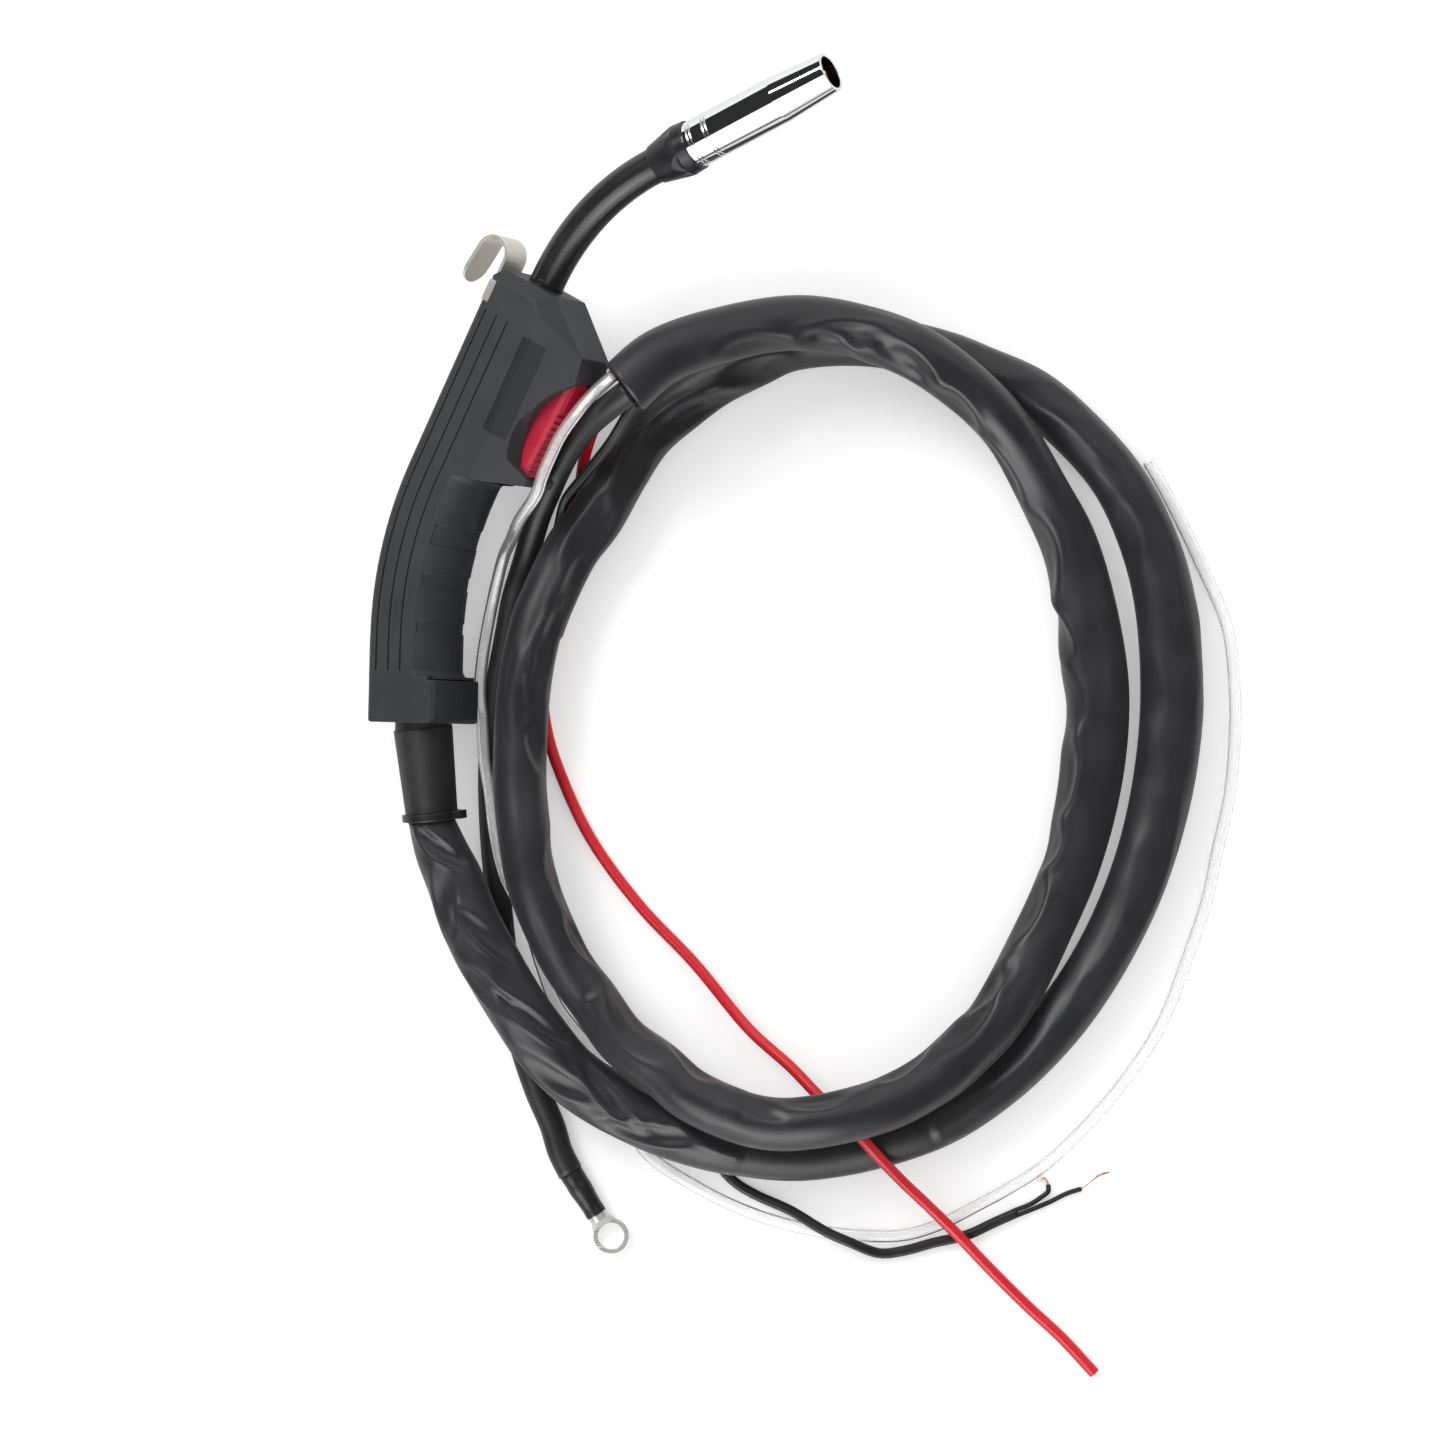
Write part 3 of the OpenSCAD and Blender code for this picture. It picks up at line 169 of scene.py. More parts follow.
def smooth_mesh(name, corners, faces):
    """A mesh from corners in mm. Its four-sided faces are shaded smooth, and its caps stay flat."""
    mesh = bpy.data.meshes.new(name)
    mesh.from_pydata((corners.reshape(-1, 3) * MM).tolist(), [], faces)
    mesh.polygons.foreach_set("use_smooth", [len(face) == 4 for face in faces])
    return mesh


def tube_parts(line, radius, sides, first=None, last=None):
    """Corners and faces of a closed tube. The radius is one number, or one for each ring and corner."""
    rings = len(line)
    reach = np.broadcast_to(radius, (rings, sides))[..., None]
    corners = line[:, None] + spokes(line, sides, first, last) * reach
    return corners.reshape(-1, 3), skin_quads(rings, sides).tolist() + end_caps(rings, sides)


def hollow_parts(line, radius, sides, first, last, bore):
    """Corners and faces of a tube with a round bore through it."""
    outer, faces = tube_parts(line, radius, sides, first, last)
    inner, _ = tube_parts(line, bore, sides, first, last)
    inside, end = len(outer), len(outer) - sides
    faces = faces[:-2] + [[inside + corner for corner in face[::-1]] for face in faces[:-2]]
    for s in range(sides):
        n = (s + 1) % sides
        faces.append([n, s, inside + s, inside + n])
        faces.append([end + s, end + n, inside + end + n, inside + end + s])
    return np.vstack([outer, inner]), faces


def tube_mesh(name, line, radius, sides, first=None, last=None, bore=None):
    if bore is None:
        return smooth_mesh(name, *tube_parts(line, radius, sides, first, last))
    return smooth_mesh(name, *hollow_parts(line, radius, sides, first, last, bore))


def add_piece(name, mesh, stands_for, finish, body="torch"):
    """Puts a mesh in the scene, on its body, in place of CAD nodes, with its material and slot."""
    piece = bpy.data.objects.new(name, mesh)
    bpy.context.scene.collection.objects.link(piece)
    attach(piece, body)
    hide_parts(*stands_for)
    mesh.materials.append(finish)
    print(name, len(mesh.vertices), "points")
    return piece


three_rings = np.array([[0.0, 0, 0], [9, 0, 0], [18, 0, 0]])
print("a closed tube of three rings has", len(tube_parts(three_rings, 1, 8)[1]), "faces")

# %% [markdown]
# ## Where the cords run
# The routes repeat the CAD model's points. The sleeve leaves the boot, makes one and a half turns,
# and ends in an open mouth beside the trigger. Four tails come out of it, and one of them, the
# control cable, splits in two cores.

# %% Routes
SLEEVE_DIA, LEAD_DIA, HOSE_DIA, LINER_DIA, CONTROL_DIA, CORE_DIA = 21, 10, 5, 4.5, 4, 1.9
GAP = 0.3
SLEEVE_ROUTE = [
    (-62, -152, 19), (-57, -163, 19.5), (-50, -181, 21), (-41, -198, 22.5), (-28, -219, 22),
    (-12, -239, 19), (14, -255, 17.5), (41, -265, 16), (70, -270, 12.5), (90, -269, 11),
    (109, -265, 11), (129, -258, 11), (149, -246, 11), (169, -228, 11), (191, -199, 11),
    (208, -164, 11), (217, -131, 11), (221, -94, 11), (218, -54, 11), (210, -27, 11),
    (199, -6, 11), (180, 15, 11), (166, 26, 11), (148, 34, 11), (133, 40, 11), (104, 46, 11),
    (73, 44, 11), (59, 38, 11), (43, 30, 11), (30, 21, 11), (17, 10, 12), (7, -5, 15),
    (-3, -23, 17), (-12, -35, 17.5), (-21, -53, 17.5), (-26, -66, 17.5), (-29, -79, 17.5),
    (-31, -94, 17.5), (-32, -113, 17.5), (-32, -128, 18.5), (-30, -146, 21), (-27, -163, 21.5),
    (-20, -182, 20.5), (-13, -196, 20), (-3, -210, 21), (8, -225, 24.5), (22, -235, 28.5),
    (34, -245, 32), (55, -254, 35), (69, -256, 37), (80, -255, 38), (91, -253, 38),
    (109, -248, 35), (123, -241, 31), (136, -232, 26), (154, -213, 20), (172, -181, 12),
    (182, -158, 11), (189, -129, 11), (192, -101, 11), (191, -79, 11), (181, -34, 11),
    (171, -14, 15.5), (156, 10, 24), (141, 25, 30.5), (121, 39, 34), (103, 45.8, 36.5),
    (75.8, 50, 42), (44, 44, 49), (22.5, 35.1, 55), (9.5, 23.5, 58)]
LEAD_ROUTE = [
    (3.4, 16.6, 54), (-3.4, 11.8, 46.5), (-9.9, 5.5, 38), (-15.9, -3.3, 28), (-21, -13, 19),
    (-25.8, -23.5, 11.5), (-30.5, -39, 5.8),
    (-35, -54, 5.2), (-38, -70, 5.2), (-41, -86, 5.2), (-43, -101, 5.2), (-44, -117, 5.2),
    (-44, -133, 5.2), (-43, -152, 5.2), (-41, -172, 5.2), (-39, -191, 5.2), (-36, -211, 5.2),
    (-32, -228, 5.2), (-26, -246, 5.2), (-20, -260, 5.2), (-17, -270, 5.2), (-13, -278, 5.2)]
HOSE_ROUTE = [
    (-3.4, 20.2, 57.5), (-9.8, 12.7, 55), (-14.9, 5.5, 53.5), (-18.3, -1.4, 53),
    (-21.7, -9.3, 52.5), (-24, -15.8, 49.5), (-31.2, -25.4, 38.5), (-34.8, -32.2, 29),
    (-38.2, -38.4, 21), (-42.3, -51.9, 11), (-45.4, -65.6, 6.5), (-47, -76, 8), (-48, -90, 10.5),
    (-47, -101, 12), (-46, -117, 12.8), (-44, -129, 13), (-42, -145, 13.2), (-38, -162, 13), (-30, -179, 7.5),
    (-25, -196, 2.8), (-19, -212, 2.7), (-11, -223, 2.7), (0, -235, 2.7), (6, -250, 2.7),
    (16, -270, 2.7), (38, -285, 2.7), (57, -294, 2.7), (77, -300, 2.7), (99, -303, 2.7),
    (117, -303, 2.7), (131, -299, 2.7), (145, -292, 2.7), (158, -285, 2.7), (172, -276, 2.7),
    (188, -261, 2.7), (202, -245, 2.7), (218, -221, 2.7), (229, -193, 2.7), (236, -172, 2.7),
    (240, -153, 2.7), (245, -130, 2.7), (247, -106, 2.7), (247, -90, 2.7), (244, -65, 2.7),
    (234, -41, 2.7), (221, -14, 2.7), (213, 0, 2.7)]
LINER_ROUTE = [
    (3, 18.5, 44), (-2, 12, 34), (-5, 6, 24), (-7.5, -1, 14), (-9, -8, 7), (-11, -14, 3.2),
    (-13, -23, 2.5), (-15, -37, 2.5),
    (-18, -54, 2.5), (-22, -70, 2.5), (-24, -90, 2.5), (-22, -107, 2.5), (-16, -125, 2.5),
    (-5, -148, 2.5), (14, -174, 2.5), (35, -196, 4), (57, -222, 10), (73, -236, 16),
    (84, -247, 21), (94, -256, 24.5), (104, -267, 24.5), (115, -279, 18), (127, -291, 11),
    (137, -301, 8.2), (151, -316, 4), (166, -331, 2.5), (179, -343, 2.5), (192, -357, 2.5)]
CONTROL_ROUTE = [
    (9.5, 13, 48), (4.5, 5.5, 41), (-1, -1, 33.5), (-7.5, -8, 25), (-14.6, -16.5, 16),
    (-16.9, -24, 10.5), (-18.6, -31, 6.5), (-20, -36, 4.8),
    (-23, -48, 2.3), (-27, -68, 2.3), (-32, -86, 2.3), (-34, -109, 2.3), (-33, -133, 2.3),
    (-31, -156, 2.3), (-26, -176, 2.3), (-20, -193, 2.3), (-11, -209, 2.3), (-2, -223, 2.3),
    (14, -238, 2.3), (30, -256, 2.3), (42, -272, 2.3), (51, -282, 2.3), (59, -287, 2.3),
    (73, -293, 5), (87, -301, 8), (96, -305, 7.8), (108, -310, 3), (118, -309, 2.3),
    (129, -306, 2.3), (142, -303, 2.3), (153, -298, 2.3), (162, -294, 2.3)]
CORE_A_ROUTE = [(167, -291, 1.6), (171, -288.5, 1.2), (174, -286, 1.2), (174, -283.5, 1.5)]
CORE_B_ROUTE = [(169, -292.5, 1.6), (175, -290, 1.2), (181, -287, 1.2), (187, -285, 1.2)]

tail_points = len(LEAD_ROUTE + HOSE_ROUTE + LINER_ROUTE + CONTROL_ROUTE)
print("route points", len(SLEEVE_ROUTE), "in the sleeve and", tail_points, "in the tails")

# %% [markdown]
# The boot leans with the handle, so the sleeve's first point and direction come from the same turns
# as in the CAD model. The tails start at set places across and up in the sleeve's mouth.

# %% Ends of the cords
ROLL, LEAN, BOOT_YAW, BOOT_PITCH, BOOT_PIVOT, BOOT_LEN = 29, 1.5, 5.6, 2.7, 3, 34.8
TORCH_X, TORCH_Y, EDGE_R, HALF_T, SPINE_BACK, HAIR = -69.1, -102.5, 3, 16.5, 16, 0.05
MOUTH_AT, MOUTH_TURN = np.array([9.5, 23.5, 58]), 218.5
LEAD_PLACE, HOSE_PLACE, CONTROL_PLACE, LINER_PLACE = (2.4, 3.2), (-6, 2.5), (6.2, -4.4), (-0.6, -6.5)


def turned(p, axis, degrees):
    """A point turned about one axis."""
    c, s = math.cos(math.radians(degrees)), math.sin(math.radians(degrees))
    x, y, z = p
    return np.array({
        "x": (x, y * c - z * s, y * s + z * c),
        "y": (x * c + z * s, y, z * c - x * s),
        "z": (x * c - y * s, x * s + y * c, z),
    }[axis])


def flat_direction(degrees):
    """A level direction, as degrees from the x axis."""
    return np.array([math.cos(math.radians(degrees)), math.sin(math.radians(degrees)), 0])


roll = math.radians(ROLL)
torch_z = HAIR + EDGE_R + (HALF_T - EDGE_R) * math.cos(roll) + (SPINE_BACK - EDGE_R) * math.sin(roll)
torch_at = np.array([TORCH_X, TORCH_Y, torch_z])


def from_torch(p):
    """A point of the handle, from the handle's own frame to the scene's."""
    return torch_at + turned(turned(p, "y", -ROLL), "z", -LEAN)


boot_at = from_torch((0, -BOOT_PIVOT, 0))
boot_out = turned(turned(turned((0, -1, 0), "y", -ROLL), "x", BOOT_PITCH), "z", BOOT_YAW)
sleeve_start = boot_at + boot_out * (BOOT_LEN + GAP)
mouth_out, mouth_side = flat_direction(MOUTH_TURN), flat_direction(MOUTH_TURN + 90)


def in_mouth(across, height):
    return MOUTH_AT + GAP * mouth_out + np.array([0, 0, height]) + across * mouth_side


lead_start, hose_start = in_mouth(*LEAD_PLACE), in_mouth(*HOSE_PLACE)
control_start, liner_start = in_mouth(*CONTROL_PLACE), in_mouth(*LINER_PLACE)
print("sleeve starts at", np.round(sleeve_start, 1))

# %% [markdown]
# ## Shared effects
# An effect that several finishes use is one node group: grain, rounded edges, scratches, and painted shade in
# deep grooves. Each material places the group and gives it its own values. These helpers make a group, a node
# with its links, and a ramp from one range of values to another.

# %% Node helpers
FLOAT, VECTOR = "NodeSocketFloat", "NodeSocketVector"


def new_group(name, inputs, outputs):
    group = bpy.data.node_groups.new(name, "ShaderNodeTree")
    for label, kind, value in inputs:
        group.interface.new_socket(label, in_out="INPUT", socket_type=kind).default_value = value
    for label, kind in outputs:
        group.interface.new_socket(label, in_out="OUTPUT", socket_type=kind)
    entry, end = group.nodes.new("NodeGroupInput"), group.nodes.new("NodeGroupOutput")
    print("group", name)
    return group, entry.outputs, end.inputs


def feed(tree, socket, value):
    """Links a socket to the one that feeds it, or sets it to a plain value."""
    if isinstance(value, bpy.types.NodeSocket):
        tree.links.new(value, socket)
    else:
        socket.default_value = value


def add_node(tree, kind, links=None, **values):
    """A node with its own properties set, and its sockets fed."""
    node = tree.nodes.new(kind)
    for name, value in values.items():
        setattr(node, name, value)
    for name, value in (links or {}).items():
        feed(tree, node.inputs[name], value)
    return node


def ramp(tree, value, low, high, out_low=0.0, out_high=1.0):
    node = add_node(tree, "ShaderNodeMapRange", {
        "Value": value, "From Min": low, "From Max": high, "To Min": out_low, "To Max": out_high})
    return node.outputs["Result"]


def object_place(tree):
    """Where a point of the surface is. CAD nodes stay at the origin, so this is in metres."""
    return add_node(tree, "ShaderNodeTexCoord").outputs["Object"]


print("kinds of group sockets:", FLOAT, VECTOR)

# %% [markdown]
# Grain: moulds for plastic are spark-eroded, which leaves a fine even grain. An image would show
# where it repeats, so noise makes the height, and a much coarser noise tells where it looks cloudy.

# %% Grain
BLOTCH_SCALE, BLOTCH_RANGE = 60, (0.3, 0.7)


def grain_group():
    group, given, out = new_group("Grain", [("Scale", FLOAT, 2500)], [("Height", FLOAT), ("Tone", FLOAT)])
    place = object_place(group)
    speckle = add_node(group, "ShaderNodeTexNoise", {"Vector": place, "Scale": given["Scale"], "Detail": 3})
    blotch = add_node(group, "ShaderNodeTexNoise", {"Vector": place, "Scale": BLOTCH_SCALE, "Detail": 4})
    feed(group, out["Height"], speckle.outputs["Fac"])
    feed(group, out["Tone"], ramp(group, blotch.outputs["Fac"], *BLOTCH_RANGE))
    return group


grain = grain_group()

# %% [markdown]
# Soft edges: a real edge is never a knife's. The Bevel node rounds the normals without a change to the mesh,
# and where they differ from the true ones is the edge. The moulded finishes paint a highlight there in a
# paler colour.

# %% Soft edges
EDGE_RANGE = (0.995, 0.85)


def edge_group():
    group, given, out = new_group("Soft edges", [("Radius", FLOAT, 0.0004)],
                                  [("Normal", VECTOR), ("Edge", FLOAT)])
    rounded = add_node(group, "ShaderNodeBevel", {"Radius": given["Radius"]}, samples=6)
    true_normal = add_node(group, "ShaderNodeNewGeometry").outputs["Normal"]
    agree = add_node(group, "ShaderNodeVectorMath", {0: rounded.outputs["Normal"], 1: true_normal},
                     operation="DOT_PRODUCT")
    feed(group, out["Normal"], rounded.outputs["Normal"])
    feed(group, out["Edge"], ramp(group, agree.outputs["Value"], *EDGE_RANGE))
    return group


edges = edge_group()

# %% [markdown]
# Scratches and haze: handled metal has short scratches that run one way, and a faint uneven haze.
# Noise that is stretched and turned gives the scratches, and plain noise the haze.

# %% Scratches
SCRATCH_STRETCH, SCRATCH_TURN, SCRATCH_RANGE, HAZE_SCALE = (1, 14, 3), (0.4, 0.9, 0.7), (0.62, 0.72), 35


def scratch_group():
    group, given, out = new_group("Scratches", [("Scale", FLOAT, 90)], [("Mask", FLOAT), ("Haze", FLOAT)])
    place = object_place(group)
    bent = add_node(group, "ShaderNodeMapping", {
        "Vector": place, "Scale": SCRATCH_STRETCH, "Rotation": SCRATCH_TURN}).outputs["Vector"]
    lines = add_node(group, "ShaderNodeTexNoise", {"Vector": bent, "Scale": given["Scale"], "Detail": 5})
    haze = add_node(group, "ShaderNodeTexNoise", {"Vector": place, "Scale": HAZE_SCALE, "Detail": 3})
    feed(group, out["Mask"], ramp(group, lines.outputs["Fac"], *SCRATCH_RANGE))
    feed(group, out["Haze"], haze.outputs["Fac"])
    return group


scratch = scratch_group()

# %% [markdown]
# Grooves: the grooves along the handle and between the trigger's ribs get a darker colour, painted shade
# where little light reaches. Ambient Occlusion measures how open each point is, on the piece alone.

# %% Grooves
OPEN_RANGE = (0.25, 0.85)


def cavity_group():
    group, given, out = new_group("Cavity", [("Distance", FLOAT, 0.0015)], [("Open", FLOAT)])
    hollow = add_node(group, "ShaderNodeAmbientOcclusion", {"Distance": given["Distance"]},
                      samples=8, only_local=True)
    feed(group, out["Open"], ramp(group, hollow.outputs["AO"], *OPEN_RANGE))
    return group


cavity = cavity_group()

# %% [markdown]
# ## Moulded and rubber finishes
# Moulded plastic is one colour with a fine grain, a little cloudier in some places, and paler along its
# edges, a painted highlight. Rubber and coated cloth differ only in grain, gloss and sheen, so one function
# makes them all. The bump comes last, on top of the rounded edges.

# %% Plastic and rubber
GROOVE_REACH, GLOSSIER, DULLER = 1.6, 0.04, 0.05
# The Mix node has sockets of several kinds under one name. These are the two colours and the result
MIX_A, MIX_B, MIX_OUT = 6, 7, 2


def place_group(tree, group, **values):
    node = tree.nodes.new("ShaderNodeGroup")
    node.node_tree = group
    for name, value in values.items():
        node.inputs[name.capitalize()].default_value = value
    return node.outputs


def new_material(name):
    material = bpy.data.materials.new(name)
    material.use_nodes = True
    tree = material.node_tree
    return material, tree, tree.nodes["Principled BSDF"].inputs


def mix_colours(tree, share, first, second):
    node = add_node(tree, "ShaderNodeMix", {"Factor": share}, data_type="RGBA")
    for socket, value in ((node.inputs[MIX_A], first), (node.inputs[MIX_B], second)):
        feed(tree, socket, (*value, 1) if isinstance(value, tuple) else value)
    return node.outputs[MIX_OUT]


def box_mask(tree, origin, axes, sizes):
    """1 inside a turned box, 0 outside. The origin is its corner, and all is in metres."""
    place = object_place(tree)
    place = add_node(tree, "ShaderNodeVectorMath", {0: place, 1: origin},
                     operation="SUBTRACT").outputs["Vector"]
    inside = 1.0
    for axis, size in zip(axes, sizes):
        along = add_node(tree, "ShaderNodeVectorMath", {0: place, 1: axis},
                         operation="DOT_PRODUCT").outputs["Value"]
        within = add_node(tree, "ShaderNodeMath", {0: along, 1: size / 2, 2: size / 2},
                          operation="COMPARE").outputs[0]
        inside = add_node(tree, "ShaderNodeMath", {0: inside, 1: within}, operation="MULTIPLY").outputs[0]
    return inside


def moulded(name, colour, cloudy, edge_highlight, rough, grain_scale, grain_depth, edge=0.4, sheen=0.0,
            specular=0.5, groove_shade=None, inlay=None):
    """Plastic, rubber or coated cloth. Grain depth and edge are in mm; an inlay is a colour and a box."""
    material, tree, bsdf = new_material(name)
    fine = place_group(tree, grain, scale=grain_scale)
    soft = place_group(tree, edges, radius=edge * MM)
    base = mix_colours(tree, fine["Tone"], colour, cloudy)
    # A paler colour along the edges is a painted highlight.
    base = mix_colours(tree, soft["Edge"], base, edge_highlight)
    # A darker colour in the grooves is painted shade.
    if groove_shade:
        depth = place_group(tree, cavity, distance=GROOVE_REACH * MM)
        base = mix_colours(tree, depth["Open"], groove_shade, base)
    if inlay:
        base = mix_colours(tree, box_mask(tree, *inlay[1:]), base, inlay[0])
    feed(tree, bsdf["Base Color"], base)
    feed(tree, bsdf["Roughness"], ramp(tree, fine["Tone"], 0, 1, rough - GLOSSIER, rough + DULLER))
    bump = add_node(tree, "ShaderNodeBump", {
        "Height": fine["Height"], "Normal": soft["Normal"], "Distance": grain_depth * MM, "Strength": 1})
    feed(tree, bsdf["Normal"], bump.outputs["Normal"])
    bsdf["Specular IOR Level"].default_value = specular
    bsdf["Sheen Weight"].default_value = sheen
    print("finish", name)
    return material


print("grooves darken within", GROOVE_REACH, "mm")

# %% [markdown]
# The near shell has a bare, smooth label recess, darker than the grained plastic round it. A second
# material would need its own faces, so a turned box in the handle's own directions marks it.

# %% Label recess
HEAD_TURN, HEAD_AT, LABEL_CORNER, LABEL_SIZE = 27, (0.349, 100.099, 0), (24.7, 25.8, 8), (10.1, 38.5, 9)
LABEL_DARK = (0.011, 0.012, 0.014)


def head_axis(p):
    """A direction of the head, from the head's own frame to the scene's."""
    return turned(turned(turned(p, "z", -HEAD_TURN), "y", -ROLL), "z", -LEAN)


label_axes = [tuple(head_axis(direction)) for direction in np.eye(3)]
label_at = tuple((from_torch(HEAD_AT) + head_axis(LABEL_CORNER)) * MM)
label = (LABEL_DARK, label_at, label_axes, [size * MM for size in LABEL_SIZE])
print("label recess at", [round(x / MM, 1) for x in label_at], "mm")

# %% [markdown]
# The handle is charcoal and matt, with painted shade in its grooves. The trigger is a clean glossy red, with
# painted shade between its ribs, and the switch behind it is plain black.

# %% Finishes of the handle
# In each finish the third colour is a painted highlight along the edges.
handle_plastic = moulded("handle_plastic", (0.026, 0.027, 0.031), (0.031, 0.032, 0.036),
                         (0.052, 0.054, 0.058), rough=0.5, grain_scale=4200, grain_depth=0.03,
                         edge=0.6, specular=0.4, groove_shade=(0.006, 0.006, 0.007), inlay=label)
trigger_plastic = moulded("trigger_plastic", (0.42, 0.007, 0.03), (0.5, 0.011, 0.04),
                          (0.6, 0.04, 0.07), rough=0.3, grain_scale=2500, grain_depth=0.01,
                          edge=0.5, groove_shade=(0.2, 0.003, 0.012))
switch_plastic = moulded("switch_plastic", (0.015, 0.015, 0.016), (0.02, 0.02, 0.02),
                         (0.05, 0.05, 0.05), rough=0.5, grain_scale=3000, grain_depth=0.02)

# %% [markdown]
# Towards the nozzle the neck wears a glossy black sleeve and a harder cone that insulates the
# nozzle. At the other end are the soft rubber boot and the smooth cable tie round it.

# %% Finishes of the neck and the boot
# In each finish the third colour is a painted highlight along the edges.
insulator_plastic = moulded("insulator_plastic", (0.013, 0.013, 0.015), (0.022, 0.021, 0.024),
                            (0.04, 0.04, 0.045), rough=0.3, grain_scale=2600, grain_depth=0.02,
                            edge=0.8, specular=0.3)
neck_finish = moulded("neck_sleeve", (0.012, 0.012, 0.013), (0.016, 0.016, 0.017),
                      (0.03, 0.03, 0.03), rough=0.27, grain_scale=1500, grain_depth=0.02)
boot_rubber = moulded("boot_rubber", (0.013, 0.013, 0.014), (0.02, 0.02, 0.021),
                      (0.04, 0.04, 0.04), rough=0.46, grain_scale=3000, grain_depth=0.03, edge=0.6)
tie_plastic = moulded("tie_plastic", (0.01, 0.01, 0.01), (0.014, 0.014, 0.014),
                      (0.05, 0.05, 0.05), rough=0.35, grain_scale=2500, grain_depth=0.01)

# %% [markdown]
# Most cords are near black, and only gloss tells them apart: the cloth sleeve has a coating that
# shines softly, the power lead is dull rubber, and the heat-shrunk sleeve is the glossiest. The
# liner is the one bright cord, red and smooth.

# %% Finishes of the cords
# In each finish the third colour is a painted highlight along the edges.
cable_rubber = moulded("cable_jacket", (0.011, 0.011, 0.012), (0.017, 0.017, 0.018),
                       (0.03, 0.03, 0.03), rough=0.4, grain_scale=3000, grain_depth=0.02)
lead_rubber = moulded("lead_rubber", (0.014, 0.014, 0.015), (0.022, 0.022, 0.023),
                      (0.03, 0.03, 0.03), rough=0.42, grain_scale=2200, grain_depth=0.04)
shrink_rubber = moulded("shrink_sleeve", (0.011, 0.011, 0.011), (0.018, 0.018, 0.018),
                        (0.04, 0.04, 0.04), rough=0.32, grain_scale=1200, grain_depth=0.05)
sleeve_cloth = moulded("sleeve_fabric", (0.017, 0.017, 0.019), (0.023, 0.023, 0.026),
                       (0.05, 0.05, 0.055), rough=0.37, grain_scale=1800, grain_depth=0.03,
                       edge=0.2, sheen=0.1)
liner_red = moulded("liner_red", (0.62, 0.014, 0.024), (0.7, 0.02, 0.034), (0.75, 0.05, 0.06),
                    rough=0.24, grain_scale=2500, grain_depth=0.004, edge=0.2)

# %% [markdown]
# ## Metal finishes
# Plated and machined metal is told apart by colour and by how it scatters: polished chrome hardly,
# dull nickel and tinned copper much more, with faint handling scratches in the gloss. A little less
# than full metal keeps the thin nickel and tin plating pale where it mirrors the dark.

# %% Metals
METAL_EDGE = 0.3


def metal(name, colour, dull, rough, scratched, scale=90, metallic=1.0):
    material, tree, bsdf = new_material(name)
    marks = place_group(tree, scratch, scale=scale)
    soft = place_group(tree, edges, radius=METAL_EDGE * MM)
    gloss = add_node(tree, "ShaderNodeMath", {0: marks["Mask"], 1: scratched, 2: rough},
                     operation="MULTIPLY_ADD")
    feed(tree, bsdf["Base Color"], mix_colours(tree, marks["Haze"], colour, dull))
    feed(tree, bsdf["Roughness"], gloss.outputs[0])
    feed(tree, bsdf["Normal"], soft["Normal"])
    bsdf["Metallic"].default_value = metallic
    print("finish", name)
    return material


chrome = metal("nozzle_chrome", (0.86, 0.87, 0.88), (0.8, 0.81, 0.83), rough=0.05, scratched=0.05)
hook_nickel = metal("hook_plate", (0.78, 0.74, 0.68), (0.7, 0.66, 0.6), rough=0.3, scratched=0.15,
                    scale=60, metallic=0.7)
steel = metal("screw_steel", (0.55, 0.55, 0.55), (0.45, 0.45, 0.46), rough=0.3, scratched=0.1)
brass = metal("brass", (0.7, 0.5, 0.22), (0.6, 0.42, 0.18), rough=0.28, scratched=0.1)
copper = metal("copper", (0.85, 0.45, 0.27), (0.72, 0.36, 0.2), rough=0.25, scratched=0.1)
tinned = metal("tinned_copper", (0.8, 0.79, 0.76), (0.68, 0.67, 0.64), rough=0.26, scratched=0.2,
               scale=70, metallic=0.55)

# %% [markdown]
# ## Clear hose
# The gas hose is clear vinyl, so it has a real bore and bends the light. Real vinyl hardly shades a
# white table, but a ray tracer gives glass a hard shadow. So for shadow rays the hose is nearly
# absent, and most light passes on its way to what lies below.

# %% Clear vinyl
VINYL_CLEAR, VINYL_IOR, VINYL_SHADE, VINYL_ROUGH, VINYL_CLOUDS = 0.84, 1.3, 0.15, (0.08, 0.16), 500

clear_hose, vinyl_tree, vinyl = new_material("clear_hose")
vinyl["Base Color"].default_value = (1, 1, 1, 1)
vinyl["Transmission Weight"].default_value = VINYL_CLEAR
vinyl["IOR"].default_value = VINYL_IOR
cloudy_parts = place_group(vinyl_tree, grain, scale=VINYL_CLOUDS)["Tone"]
feed(vinyl_tree, vinyl["Roughness"], ramp(vinyl_tree, cloudy_parts, 0, 1, *VINYL_ROUGH))
shading = add_node(vinyl_tree, "ShaderNodeLightPath").outputs["Is Shadow Ray"]
feed(vinyl_tree, vinyl["Alpha"], ramp(vinyl_tree, shading, 0, 1, 1, VINYL_SHADE))
print("finish", clear_hose.name)

# %% [markdown]
# ## The cable sleeve
# The sleeve is soft coated cloth over a loose bundle. It swells where it has room, and where it is
# bent its inner side buckles into dents with small ridges between them. A cloth simulation could
# find such folds, but nobody could then choose where they lie. So each dent is one soft push into
# the tube's radius, with an upper rim that stands proud as pushed cloth does.

# %% One dent
DENT_REACH, DENT_SHARPNESS, RIM_REACH, RIM_WIDTH, RIM_SHARE, RIM_TURN = 0.9, 5.5, 1.4, 0.35, 0.38, 8


def soft_step(x):
    """Rises smoothly from 0 to 1 as x goes from well below to well above 0."""
    return 1 / (1 + np.exp(-np.clip(x, -50, 50)))


